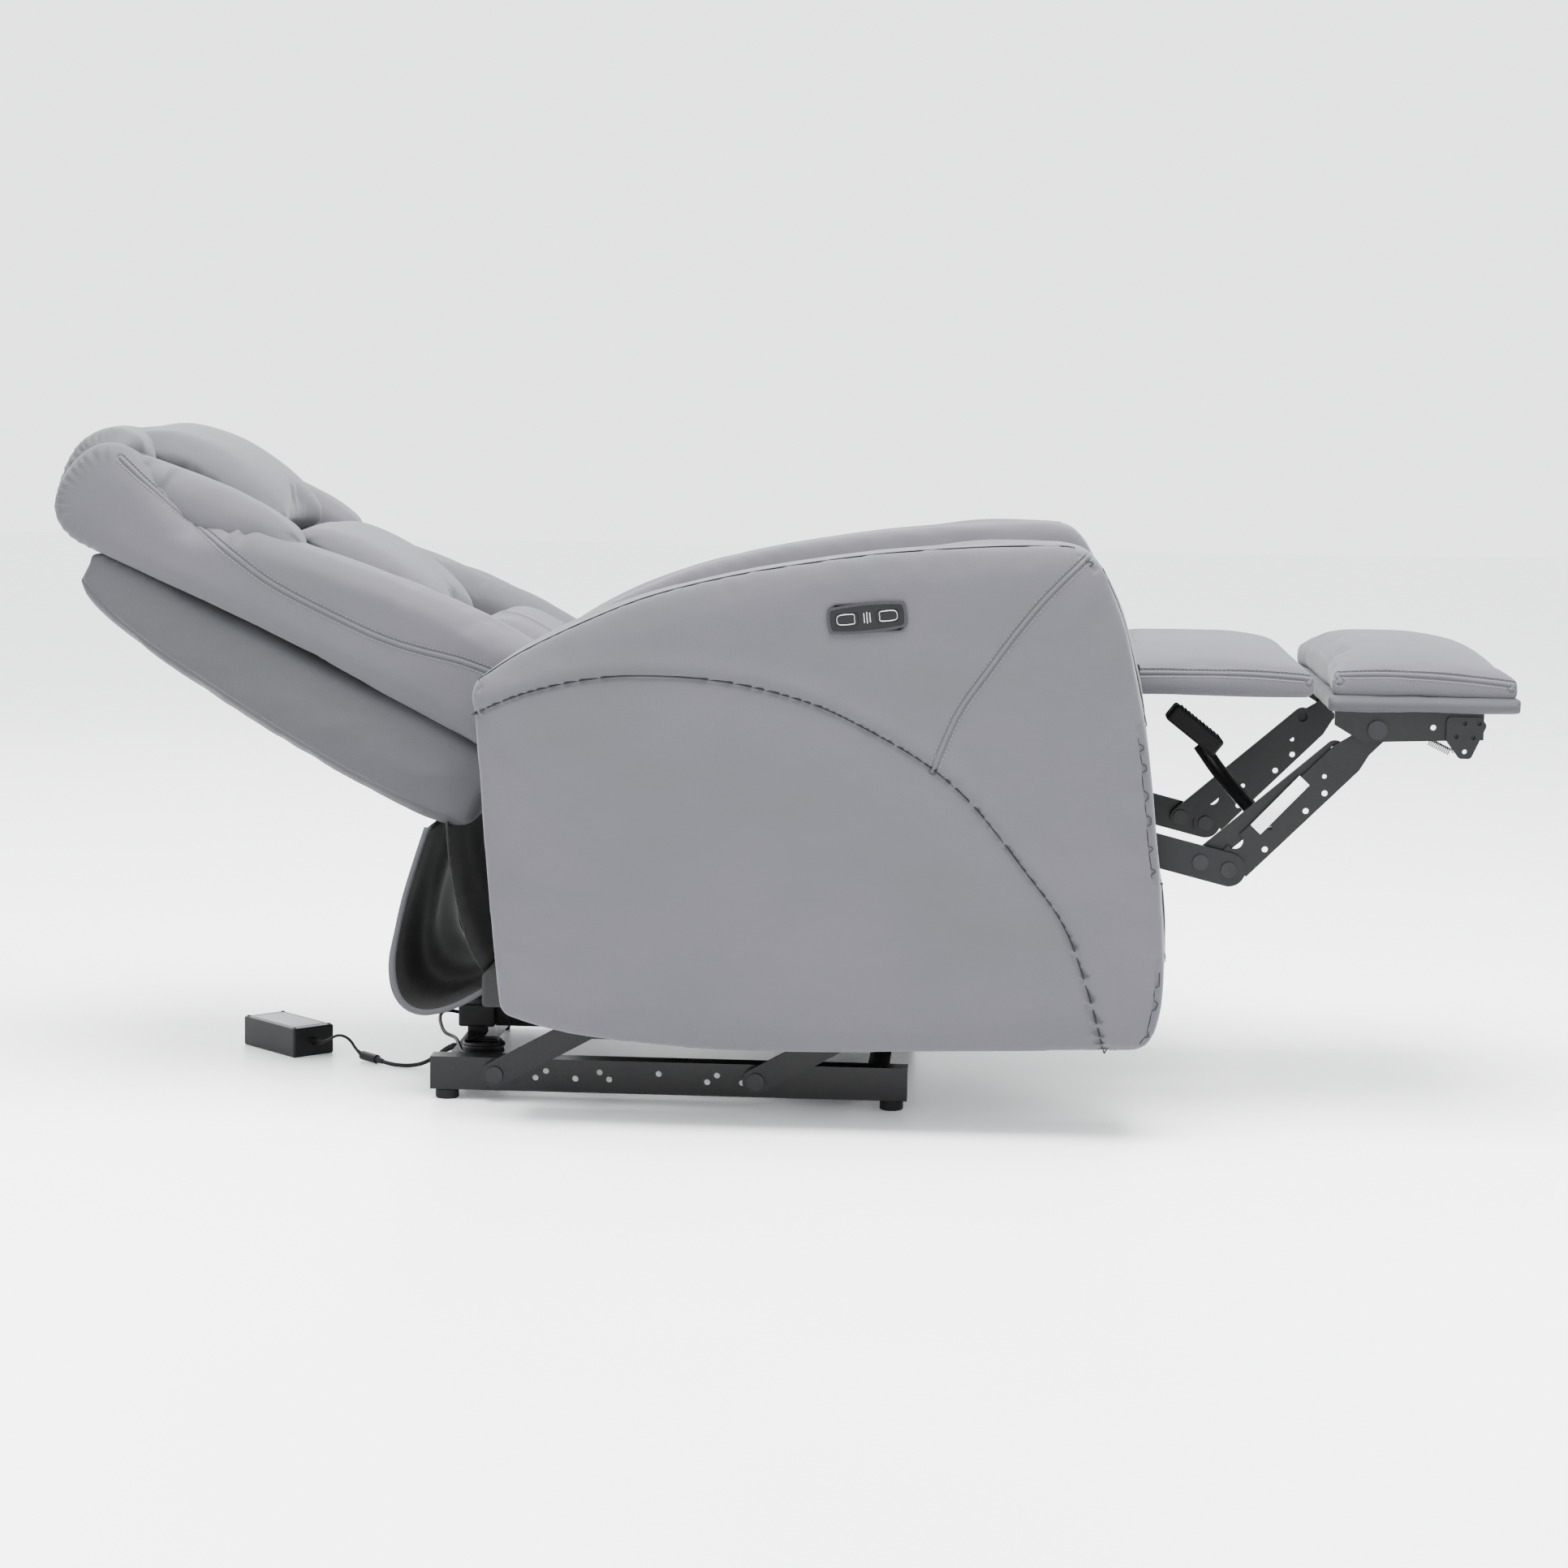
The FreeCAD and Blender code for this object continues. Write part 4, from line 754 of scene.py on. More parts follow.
def mirror_copy(obj, name):
    """The same piece on the other side of the chair."""
    mesh = obj.data.copy()
    mesh.name = name
    mesh.transform(Matrix.Scale(-1, 4, (0, 1, 0)))
    mesh.flip_normals()
    return link_object(name, mesh)


def other_side(obj):
    return mirror_copy(obj, obj.name.replace("right", "left"))


def soft_piece(obj, body, nodes=(), fill=0.6, material=None):
    obj.data.materials.clear()
    obj.data.materials.append(material or VELVET)
    if nodes:
        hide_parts(*nodes)
    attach(obj, body)
    return obj


def detail(obj, body, slot="velvet"):
    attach(obj, body)
    return obj


def back_xz(along, up):
    """Point in the back's own axes, in metres from its pivot, as (x, z)."""
    return (
        BACK_PIVOT[0] - along * math.cos(BACK_SLOPE) + up * math.sin(BACK_SLOPE),
        BACK_PIVOT[2] + along * math.sin(BACK_SLOPE) + up * math.cos(BACK_SLOPE),
    )


def back_line(pairs, closed=False, step=0.008):
    """Smooth line through (along, up) pairs in millimetres."""
    return smooth_line([Vector(back_xz(a * MM, u * MM)) for a, u in pairs], step, closed)


def sharp_line(*runs):
    """Closed outline from smooth runs joined at corners."""
    out = []
    for run in runs:
        out += run[:-1]
    return out


def at_y(line, y):
    return [Vector((p[0], y, p[1])) for p in line]


def xz_line(pairs, step=0.008, closed=False):
    return smooth_line([Vector((x * MM, z * MM)) for x, z in pairs], step, closed)


def spline_points(cord):
    """Points along a cord's own spline."""
    bare = cord.data.copy()
    bare.bevel_depth = 0.0
    carrier = link_object("route_reading", bare)
    graph = bpy.context.evaluated_depsgraph_get()
    mesh = bpy.data.meshes.new_from_object(carrier.evaluated_get(graph))
    points = [v.co.copy() for v in mesh.vertices]
    bpy.data.objects.remove(carrier)
    bpy.data.curves.remove(bare)
    bpy.data.meshes.remove(mesh)
    return points


def make_reliefs():
    """Tapered sleeves where the leads leave their housings."""
    reliefs = {"power_lead_cord": [], "adapter_lead_cord": []}
    for cord, wide, reach, backwards in (("power_lead_cord", 0.0025, 0.020, False),
                                         ("power_lead_cord", 0.0025, 0.013, True),
                                         ("adapter_lead_cord", 0.00175, 0.011, True),
                                         ("adapter_lead_cord", 0.00175, 0.011, False)):
        points = spline_points(bpy.data.objects[cord])
        if backwards:
            points = points[::-1]
        taken, travelled = [points[0]], 0.0
        for p, q in zip(points, points[1:]):
            travelled += (q - p).length
            if travelled > reach:
                break
            taken.append(q)
        fine = smooth_line(taken, 0.0008)

        def ribbed(t):
            ring = 0.10 * math.cos(2 * math.pi * t * 5.5)
            return wide * (1.75 - 0.60 * t + ring * (1 - t))

        name = cord.replace("_cord", "_relief_%s" % ("b" if backwards else "a"))
        piece = tube(name, fine, ribbed, CORD, 14)
        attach(piece, "base")
        reliefs[cord].append(piece)
    return reliefs


make_cords()


# ---------------------------------------------------------------- arms
ARM_TOP = [(-339, 487), (-333, 502), (-317, 514), (-275, 541), (-204, 576), (-134, 604), (-46, 627),
           (42, 643), (120, 654), (216, 662), (290, 665), (321, 664), (341, 659), (355, 648), (367, 632)]
ARM_FRONT = [(367, 632), (381, 598), (393, 566), (402, 528), (417, 458), (425, 405), (438, 282),
             (443, 193), (441, 148), (434, 118), (423, 101), (411, 95)]
ARM_BOTTOM = [(411, 95), (229, 87), (-20, 81), (-164, 89), (-240, 100), (-296, 116)]
ARM_REAR = [(-296, 116), (-304, 124), (-310, 164), (-318, 236), (-327, 335), (-332, 407), (-339, 487)]
ARM_ARC = [(-335, 456), (-275, 482), (-204, 500), (-133, 506), (-44, 500), (44, 479), (111, 449),
           (173, 413), (223, 370), (277, 304), (322, 243), (350, 172), (372, 95)]
ARM_FELLED = [(177, 409), (203, 471), (233, 516), (271, 569), (305, 609), (345, 648)]
ARM_BORDER = [(349, 646), (375, 589), (389, 545), (409, 458), (420, 370), (431, 281), (436, 192),
              (430, 132), (421, 104)]


def arm_outline():
    runs = [xz_line(run, 0.008) for run in (ARM_TOP, ARM_FRONT, ARM_BOTTOM, ARM_REAR)]
    return sharp_line(*runs)


def evened(line, window, proud):
    """The line with its Y averaged over a few points, and moved outwards."""
    y = np.array([p.y for p in line])
    half = window // 2
    padded = np.concatenate([np.full(half, y[0]), y, np.full(half, y[-1])])
    even = np.convolve(padded, np.ones(window) / window, "valid")
    return [Vector((p.x, v + proud, p.z)) for p, v in zip(line, even)]


def make_arms():
    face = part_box("arm_outer_right")[0].y
    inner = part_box("arm_inner_right")[1].y
    outline = inset(arm_outline(), 0.005)
    arm = prism("arm_right", outline, face + 0.004, inner - 0.004, 0.006)
    inflate(arm, 0.0068, 0.0052, 3.0, 5)
    co = coordinates(arm.data)
    switch = (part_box("switch_bezel")[0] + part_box("switch_bezel")[1]) / 2
    co[:, 1] = np.clip(co[:, 1], face - 0.004, inner - 0.0005)
    put_coordinates(arm.data, co)
    far_side = face - 0.01

    def on_face(pairs, step=SEAM_STEP):
        return laid(arm, xz_line(pairs, step), far_side)

    arc = on_face(ARM_ARC)
    below = np.array([(p.x, p.z) for p in arc])
    co = coordinates(arm.data)
    outer = co[:, 1] < face + 0.03
    index = np.where(outer)[0]
    gap = ((co[index][:, None, 0] - below[None, :, 0]) ** 2 + (co[index][:, None, 2] - below[None, :, 1]) ** 2)
    nearest = gap.argmin(1)
    d = np.sqrt(gap.min(1))
    under = co[index, 2] < below[nearest, 1]
    co[index[under], 1] += 0.0035 * np.exp(-(d[under] / 0.030) ** 2)
    co[index[~under], 1] -= 0.0012 * np.exp(-((d[~under] - 0.012) / 0.012) ** 2)
    put_coordinates(arm.data, co)
    groove(arm, on_face(ARM_ARC), 0.0020, 0.0046, 0.0004, 1)
    felled(arm, on_face(ARM_FELLED))
    groove(arm, on_face(ARM_BORDER), 0.0014, 0.0026, 0.0002, 2)
    rim = inset(xz_line(ARM_TOP[:-2], 0.006), 0.0)
    rim = [p + Vector((0.0034, -0.0108)) for p in rim[2:-2]]
    groove(arm, laid(arm, rim, far_side), 0.0014, 0.0024, 0.0002, 2)
    co = coordinates(arm.data)
    dx, dz = co[:, 0] - switch.x, co[:, 2] - switch.z
    near = (co[:, 1] < face + 0.02)
    reach = np.maximum(np.abs(dx) - 0.040, 0) ** 2 + np.maximum(np.abs(dz) - 0.017, 0) ** 2
    weight = np.exp(-reach / 0.018 ** 2) * near
    co[:, 1] = co[:, 1] * (1 - weight) + (face + 0.0004) * weight
    inside = near & (np.abs(dx) < 0.038) & (np.abs(dz) < 0.0125)
    co[inside, 1] += 0.015
    put_coordinates(arm.data, co)
    surface = tree_of(arm)
    ridge = drape(surface, at_y(xz_line(ARM_FELLED, 0.003), far_side), (0, 1, 0))
    threads = [stitches("arm_right_stitches_%d" % (k + 1), ridge, side, surface, 0.0052)
               for k, side in enumerate((-1, 1))]
    # Thin near-black tubes laid along the arc, border and rim seams are painted shade: they stand in for the shadow
    # in the sewn lines.
    seam_shade_routes = (("arc", xz_line(ARM_ARC, 0.002), 0.0009),
             ("border", xz_line(ARM_BORDER, 0.002), 0.0007),
             ("rim", rim, 0.0007))
    for label, route, radius in seam_shade_routes:
        line = evened(drape(surface, at_y(route, far_side), (0, 1, 0), 0.0), 9, -0.0005)
        threads.append(tube("arm_right_seam_" + label, line, radius, SEAM_SHADE, 6))
    left = mirror_copy(arm, "arm_left")
    lefts = [other_side(t) for t in threads]
    soft_piece(arm, "chair", ("arm_outer_right", "arm_inner_right", "arm_frames"), 0.9)
    soft_piece(left, "chair", ("arm_outer_left", "arm_inner_left", "arm_frames"), 0.9)
    for t in threads + lefts:
        detail(t, "chair")


# ---------------------------------------------------------------- back
PANEL = [(45, -30), (74, -41), (330, -40), (456, -42), (597, -48), (636, -47), (660, -33), (671, -2),
         (668, 32), (655, 60), (632, 75)]
PANEL_TOP = [(632, 75), (606, 69), (576, 59), (543, 49), (517, 41), (508, 38)]
BOLSTER_TOP = [(508, 38), (492, 46), (465, 57), (431, 67), (374, 76), (330, 82), (282, 88), (206, 93),
               (130, 90), (45, 80)]
SIDE_SEAM = [(618, 64), (580, 53), (529, 39), (490, 33), (451, 26), (395, 18), (302, 19), (252, 23),
             (215, 30), (168, 41), (110, 48)]


def make_wings():
    inner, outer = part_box("wing_left")[0].y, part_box("wing_left")[1].y
    outline = sharp_line(back_line(PANEL), back_line(PANEL_TOP), back_line(BOLSTER_TOP),
                         back_line([(45, 80), (45, -30)]))
    wing = prism("wing_panel_right", inset(outline, -0.002), -outer + 0.006, -inner - 0.004, 0.010)
    inflate(wing, 0.0062, 0.0080, 4.0, 3)
    co = coordinates(wing.data)
    co[:, 1] = np.clip(co[:, 1], -outer - 0.003, None)
    put_coordinates(wing.data, co)
    far_side = -outer - OUTSIDE

    def on_side(pairs, step=SEAM_STEP):
        return laid(wing, back_line(pairs, step=step), far_side)

    head_arc = on_side([(600, -44), (632, -40), (652, -26), (662, 0), (658, 30), (646, 56), (630, 68)])
    puckers(wing, head_arc, 0.0011, 0.011, 0.0105, 0.6)
    puckers(wing, on_side([(502, 36), (484, 44), (462, 50), (436, 56)]), 0.0026, 0.014, 0.030, 2.0)
    felled(wing, on_side(SIDE_SEAM), 0.0034, 0.0015, 0.0006)
    crease_field(wing, 0.0011, 9.0, 1.0, (1.0, 1.0, 1.4))
    surface = tree_of(wing)
    ridge = drape(surface, at_y(back_line(SIDE_SEAM, step=0.003), far_side), (0, 1, 0))
    threads = [stitches("wing_panel_right_stitches_%d" % (k + 1), ridge, side, surface, 0.0054)
               for k, side in enumerate((-1, 1))]
    bolster_outline = back_line([(648, 36), (642, 64), (618, 74), (586, 79), (531, 86), (475, 89), (431, 88),
                                 (404, 81), (386, 60), (380, 34), (400, 12), (520, 6), (630, 10)], True)
    bolster = prism("head_bolster_right", inset(bolster_outline, 0.004), -outer + 0.018, -inner - 0.002, 0.014)
    inflate(bolster, 0.0058, 0.010, 4.0, 5)
    top = laid(bolster, back_line([(636, 60), (600, 66), (560, 66)], step=SEAM_STEP), far_side)
    puckers(bolster, top, 0.0030, 0.022, 0.021, 0.2)
    tail = laid(bolster, back_line([(404, 74), (392, 56), (388, 40)], step=SEAM_STEP), far_side)
    puckers(bolster, tail, 0.0028, 0.020, 0.016, 1.1)
    crease_field(bolster, 0.0016, 13.0, 2.0, (1.0, 1.0, 1.6))
    for piece, fill in ((wing, 0.75), (bolster, 0.6)):
        left = other_side(piece)
        soft_piece(piece, "back", ("wing_right",), fill)
        soft_piece(left, "back", ("wing_left",), fill)
    for t in threads + [other_side(t) for t in threads]:
        detail(t, "back")


HEAD_PILLOW = [(662, 50), (655, 80), (630, 99), (600, 111), (565, 115), (523, 111), (486, 104), (455, 94),
               (436, 84), (427, 70), (429, 54), (446, 40), (500, 32), (560, 28), (640, 26)]
LUMBAR_PILLOW = [(446, 40), (440, 58), (424, 76), (404, 87), (372, 93), (340, 94), (300, 91), (262, 83),
                 (232, 73), (212, 62), (203, 46), (208, 30), (240, 22), (320, 18), (430, 22)]


def back_pillow(name, pairs, half, seed, cap=0.012):
    """Closed pillow of the back, from its outline in the back's own axes (mm)."""
    outline = back_line(pairs, True)
    pillow = prism(name, inset(outline, 0.009), -half + 0.010, half - 0.010, 0.024)
    inflate(pillow, 0.006, cap, 4.0, 8)
    crease_field(pillow, 0.0018, 8.0, seed, (1.0, 0.6, 1.0))
    return pillow


def make_pillows():
    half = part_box("head_pillow")[1].y
    head = back_pillow("head_pillow_cover", HEAD_PILLOW, half, 3.0)
    side = back_line([(652, 58), (600, 64), (540, 66), (480, 68), (440, 70)], step=SEAM_STEP)
    for y in (-half - OUTSIDE, half + OUTSIDE):
        path = laid(head, side, y)
        puckers(head, path, 0.0012, 0.010, 0.024, 4.0)
        groove(head, path, 0.0030, 0.0030, 0.0004, 1)
    soft_piece(head, "back", ("head_pillow",), 0.7)
    lumbar = back_pillow("lumbar_pillow_cover", LUMBAR_PILLOW, half, 5.0)
    line = back_line([(424, 62), (380, 60), (310, 58), (218, 52)], step=SEAM_STEP)
    path = laid(lumbar, line, -half - OUTSIDE)
    groove(lumbar, path, 0.0026, 0.0030, 0.0004, 1)
    soft_piece(lumbar, "back", ("lumbar_pillow",), 0.65)
    lower = back_pillow("lower_pillow_cover", [(208, 50), (194, 78), (166, 95), (112, 97), (60, 90), (14, 76),
                        (-10, 48), (10, 24), (100, 20), (190, 30)], half, 7.0)
    for y in (-0.062, 0.062):
        line = [Vector((p[0], y, p[1])) for p in back_line([(200, 130), (150, 140), (90, 140), (20, 130)], step=SEAM_STEP)]
        down = (-math.sin(BACK_SLOPE), 0, -math.cos(BACK_SLOPE))
        groove(lower, drape(tree_of(lower), line, down), 0.0045, 0.0042, 0.0008, 1)
    soft_piece(lower, "back", ("lower_pillow",), 0.6)
    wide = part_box("lower_pillow")[1].y
    turn = [(math.cos(math.radians(a)) * 84, math.sin(math.radians(a)) * 84) for a in range(110, 222, 14)]
    end = back_pillow("back_lower_end", [(44, 78)] + turn + [(-30, -54), (44, -54)], wide, 9.0, 0.006)
    soft_piece(end, "back", ("lower_pillow",), 0.8)
    roll = back_pillow("head_roll_cover", [(604, -44), (640, -47), (668, -34), (684, -6), (689, 28), (683, 60), (666, 84),
                       (642, 98), (612, 100), (598, 80), (596, 20)], 0.236, 11.0, 0.009)
    for y in (-0.226, 0.226):
        ring = [Vector((p[0], y, p[1])) for p in back_line([(610, -58), (650, -52), (680, -34), (697, -4), (702, 30),
                (694, 66), (676, 94), (648, 110)], step=SEAM_STEP)]
        centre = Vector((back_xz(0.620, 0.02)[0], y, back_xz(0.620, 0.02)[1]))
        surface = tree_of(roll)
        path = [surface.find_nearest(centre + (p - centre) * 0.95)[0] for p in ring]
        puckers(roll, path, 0.0014, 0.013, 0.0098, y * 10)
    soft_piece(roll, "back", ("head_roll",), 0.75)
    outline = back_line([(-20, -50), (597, -50), (600, 20), (597, 40), (300, 44), (0, 40)], True, 0.02)
    panel = prism("back_panel", outline, -half - 0.004, half + 0.004, 0.004)
    inflate(panel, 0.009, 0.004, 3.0, 2, 0)
    soft_piece(panel, "back", ("back_core",), 0.8, material=VELVET_SHADED)


def make_shell():
    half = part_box("back_shell")[1].y
    shell_points = [(76, -32), (330, -32), (590, -38), (609, -58), (603, -96), (524, -119), (412, -134),
                    (303, -144), (197, -147), (116, -144), (72, -130), (70, -90)]
    shell = prism("back_shell_cover", inset(back_line(shell_points, True), 0.006), -half + 0.005, half - 0.005, 0.010)
    inflate(shell, 0.0075, 0.007, 3.0, 5)
    crease_field(shell, 0.0014, 5.0, 13.0)
    for y in (-half - OUTSIDE, half + OUTSIDE):
        line = back_line([(598, -84), (524, -108), (412, -122), (303, -132), (197, -135), (90, -128)], step=SEAM_STEP)
        path = laid(shell, line, y)
        groove(shell, path, 0.0016, 0.0022, 0.0003, 1)
    soft_piece(shell, "back", ("back_shell",), 0.85, material=VELVET_SHADED)


# ---------------------------------------------------------------- seat and leg pads
def dome(v, power=2.6):
    return 1.0 - abs(v) ** power


def make_seat():
    low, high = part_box("seat_cushion")
    rear, front = 0.474, 0.506
    half = high.y - 0.006

    def crown(u, v):
        slope = (rear - 0.490) * (1 - u) / 2 + (front - 0.490) * (1 + u) / 2
        return slope + 0.024 * dome(v, 3.0) * dome(u, 5.0)

    seat = crowned_pad("seat_cover", (low.x + 0.006, high.x - 0.006), half, low.z + 0.005, 0.490, crown)
    inflate(seat, 0.0075, 0.012, 4.0, 4)
    co = coordinates(seat.data)
    co[:, 1] = np.clip(co[:, 1], -high.y - 0.001, high.y + 0.001)
    co[:, 2] = np.maximum(co[:, 2], low.z + 0.0005)
    co[:, 0] = np.clip(co[:, 0], low.x - 0.004, high.x + 0.008)
    put_coordinates(seat.data, co)
    for x in (low.x + 0.145, low.x + 0.31):
        line = [(x, -half - 0.02 + i * 0.005, 0.7) for i in range(int((2 * half + 0.04) / 0.005))]
        path = drape(tree_of(seat), line, (0, 0, -1))
        groove(seat, path, 0.0055, 0.0048, 0.0010, 1)
        puckers(seat, path, 0.0010, 0.014, 0.033, x * 30)
    crease_field(seat, 0.0020, 6.0, 15.0)
    soft_piece(seat, "chair", ("seat_cushion",), 0.65)


def seam_row(pad, pairs, half, name, body):
    """Flat-felled side seams of a leg pad with their threads."""
    threads = []
    for side in (-1, 1):
        line = [Vector((p[0], side * (half + 0.05), p[1])) for p in xz_line(pairs, SEAM_STEP)]
        path = drape(tree_of(pad), line, (0, -side, 0))
        felled(pad, path, 0.0034, 0.0018, 0.0007)
        surface = tree_of(pad)
        path = drape(surface, line, (0, -side, 0))
        for k, edge in enumerate((-1, 1)):
            label = "%s_stitches_%s_%d" % (name, "right" if side < 0 else "left", k + 1)
            threads.append(stitches(label, path, edge, surface, 0.0056))
    for t in threads:
        detail(t, body)


def make_leg_pads():
    low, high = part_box("mid_cushion")
    half = high.y - 0.002

    def mid_crown(u, v):
        along = 1.0 if u < 0.1 else 1.0 - 0.80 * ((u - 0.1) / 0.9) ** 2.2
        rear = min(1.0, 0.55 + (u + 1) * 2.0)
        return 0.024 * dome(v) * along * rear

    mid = crowned_pad("middle_pad_cover", (low.x + 0.004, high.x - 0.004), half, low.z - 0.001, 0.507, mid_crown)
    inflate(mid, 0.0058, 0.0080, 4.0, 2)
    co = coordinates(mid.data)
    co[:, 0] = np.clip(co[:, 0], low.x - 0.001, high.x + 0.001)
    co[:, 2] = np.maximum(co[:, 2], low.z - 0.0005)
    co[:, 1] = np.clip(co[:, 1], -high.y - 0.002, high.y + 0.002)
    put_coordinates(mid.data, co)
    crease_field(mid, 0.0012, 9.0, 17.0)
    seam_row(mid, [(372, 508), (450, 509), (530, 509), (605, 505)], half, "middle_pad", "middle_pad")
    soft_piece(mid, "middle_pad", ("mid_cushion", "mid_board"), 0.7)
    plates = frame["nodes"]["mid_hinge_plates"].data.copy()
    plates.name = "mid_hinge_plates_inside"
    co = coordinates(plates)
    co[:, 1] -= np.sign(co[:, 1]) * 0.016
    put_coordinates(plates, co)
    inside = link_object("mid_hinge_plates_inside", plates)
    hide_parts("mid_hinge_plates")
    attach(inside, "middle_pad")

    low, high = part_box("footrest_cushion")

    def foot_crown(u, v):
        along = 1.0 - 0.72 * max(0.0, (u + 0.1) / 1.1) ** 2.0 - 0.45 * max(0.0, (-u - 0.45) / 0.55) ** 2
        return 0.026 * dome(v) * along - 0.004 * max(0.0, u) ** 2

    foot = crowned_pad("footrest_cover", (low.x + 0.005, high.x - 0.005), half, low.z - 0.002, 0.509, foot_crown)
    inflate(foot, 0.0058, 0.0080, 4.0, 2)
    co = coordinates(foot.data)
    co[:, 0] = np.clip(co[:, 0], low.x - 0.001, high.x + 0.004)
    co[:, 2] = np.maximum(co[:, 2], low.z - 0.0012)
    co[:, 1] = np.clip(co[:, 1], -high.y - 0.002, high.y + 0.002)
    put_coordinates(foot.data, co)
    crease_field(foot, 0.0012, 9.0, 19.0)
    seam_row(foot, [(615, 510), (670, 512), (724, 511), (780, 507), (829, 502)], half, "footrest", "footrest")
    soft_piece(foot, "footrest", ("footrest_cushion",), 0.7)
    low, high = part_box("footrest_board")
    wrap = prism("footrest_wrap", [(low.x, low.z + 0.001), (high.x, low.z + 0.001), (high.x, high.z + 0.001),
                 (low.x, high.z + 0.001)], low.y, high.y, 0.004)
    inflate(wrap, 0.005, 0.002, 2.0, 2, 1)
    crease_field(wrap, 0.0008, 14.0, 21.0)
    soft_piece(wrap, "footrest", ("footrest_board",), 0.95, material=VELVET_SHADED)
    bridge_path = xz_line([(330, 512), (345, 506), (356, 496), (368, 490), (380, 492)], 0.004)
    bridge = prism("front_bridge", bridge_path + [p + Vector((0.0, -0.003)) for p in reversed(bridge_path)],
                   -0.225, 0.225)
    soft_piece(bridge, "chair", (), None)
    bridge.parent = None
    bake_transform(bridge)
    length_of(bridge_path)


# ---------------------------------------------------------------- rear flap
FLAP = [(-399, 316), (-412, 276), (-425, 232), (-434, 190), (-438, 158), (-434, 128), (-422, 110), (-404, 103),
        (-384, 105), (-362, 113), (-342, 124), (-326, 134)]
FLAP_HALF = 0.236
# Side-view line of a black sheet inside the seat box: painted shade, a dark sheet standing in for the shade behind
# the rear flap.
SEAT_BOX_SHADE = [(-378, 322), (-374, 285), (-366, 240), (-356, 200), (-345, 168), (-332, 148)]


def ribbon(name, line, half, thick, material, columns=64, hang=0.0):
    """Sheet that follows a side-view line across the chair, with soft waves where it hangs."""
    rows, cols = len(line), columns
    vertices, faces = [], []
    for layer in (0, 1):
        for i, p in enumerate(line):
            ahead = line[min(i + 1, rows - 1)] - line[max(i - 1, 0)]
            side = Vector((-ahead.y, ahead.x)).normalized() * (thick * layer)
            for j in range(cols):
                y = -half + 2 * half * j / (cols - 1)
                free = math.sin(math.pi * i / (rows - 1))
                wave = hang * free * (math.sin(y * 21 + i * 0.11) * 0.6 + math.sin(y * 47 + 1.3 - i * 0.07) * 0.4)
                edge = -0.004 * free * max(0.0, abs(y) / half - 0.86) / 0.14
                shift = Vector((-ahead.y, ahead.x)).normalized() * (wave + edge)
                vertices.append((p.x + side.x + shift.x, y, p.y + side.y + shift.y))
    size = rows * cols

    def index(i, j, layer):
        return layer * size + i * cols + j

    for i in range(rows - 1):
        for j in range(cols - 1):
            a, b, c, d = (index(i, j, 0), index(i, j + 1, 0), index(i + 1, j + 1, 0), index(i + 1, j, 0))
            faces.append((a, d, c, b))
            faces.append((a + size, b + size, c + size, d + size))
    ring = ([(i, 0) for i in range(rows)] + [(rows - 1, j) for j in range(1, cols)]
            + [(i, cols - 1) for i in range(rows - 2, -1, -1)] + [(0, j) for j in range(cols - 2, 0, -1)])
    for (i, j), (k, m) in zip(ring, ring[1:] + ring[:1]):
        faces.append((index(i, j, 0), index(k, m, 0), index(k, m, 1), index(i, j, 1)))
    obj = mesh_object(name, vertices, faces, material)
    bm = bmesh.new()
    bm.from_mesh(obj.data)
    bmesh.ops.recalc_face_normals(bm, faces=bm.faces)
    bm.to_mesh(obj.data)
    bm.free()
    for polygon in obj.data.polygons:
        polygon.use_smooth = True
    return obj


def length_of(line):
    return sum((b - a).length for a, b in zip(line, line[1:]))


def make_rear_flap():
    line = xz_line(FLAP, 0.006)
    flap = ribbon("rear_flap_cloth", line, FLAP_HALF, 0.0025, VELVET_SHADED, 56, 0.004)
    lined = []
    for i, p in enumerate(line):
        ahead = line[min(i + 1, len(line) - 1)] - line[max(i - 1, 0)]
        lined.append(p + Vector((-ahead.y, ahead.x)).normalized() * 0.0031)
    lining = ribbon("rear_flap_lining", lined, FLAP_HALF - 0.004, 0.0010, LINING, 56, 0.004)
    edges = []
    for label, side in (("right", -1), ("left", 1)):
        path = [Vector((p.x, side * FLAP_HALF, p.y)) for p in line]
        edges.append(tube("rear_flap_binding_" + label, path, 0.0032, VELVET_SHADED, 10))
    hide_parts("rear_flap")
    length_of(line)
    for piece in (flap, lining, *edges):
        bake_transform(piece)
    # Black sheet hung inside the seat box is painted shade: it fills the view behind the flap with dark cloth where
    # the inside is in shadow.
    inside = xz_line(SEAT_BOX_SHADE, 0.008)
    shade_sheet = ribbon("dust_liner", inside, FLAP_HALF - 0.004, 0.0012, LINING, 40, 0.003)
    length_of(inside)
    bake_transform(shade_sheet)
    sleeve = prism("rear_rail_sleeve", inset([Vector(p) for p in ((-0.332, 0.114), (-0.303, 0.114), (-0.303, 0.152),
                   (-0.332, 0.152))], -0.001), -0.2545, 0.2545)
    mod = sleeve.modifiers.new("round", "BEVEL")
    mod.width = 0.005
    mod.segments = 4
    bake_modifiers(sleeve)
    soft_piece(sleeve, "chair", (), 0.9, material=LINING)


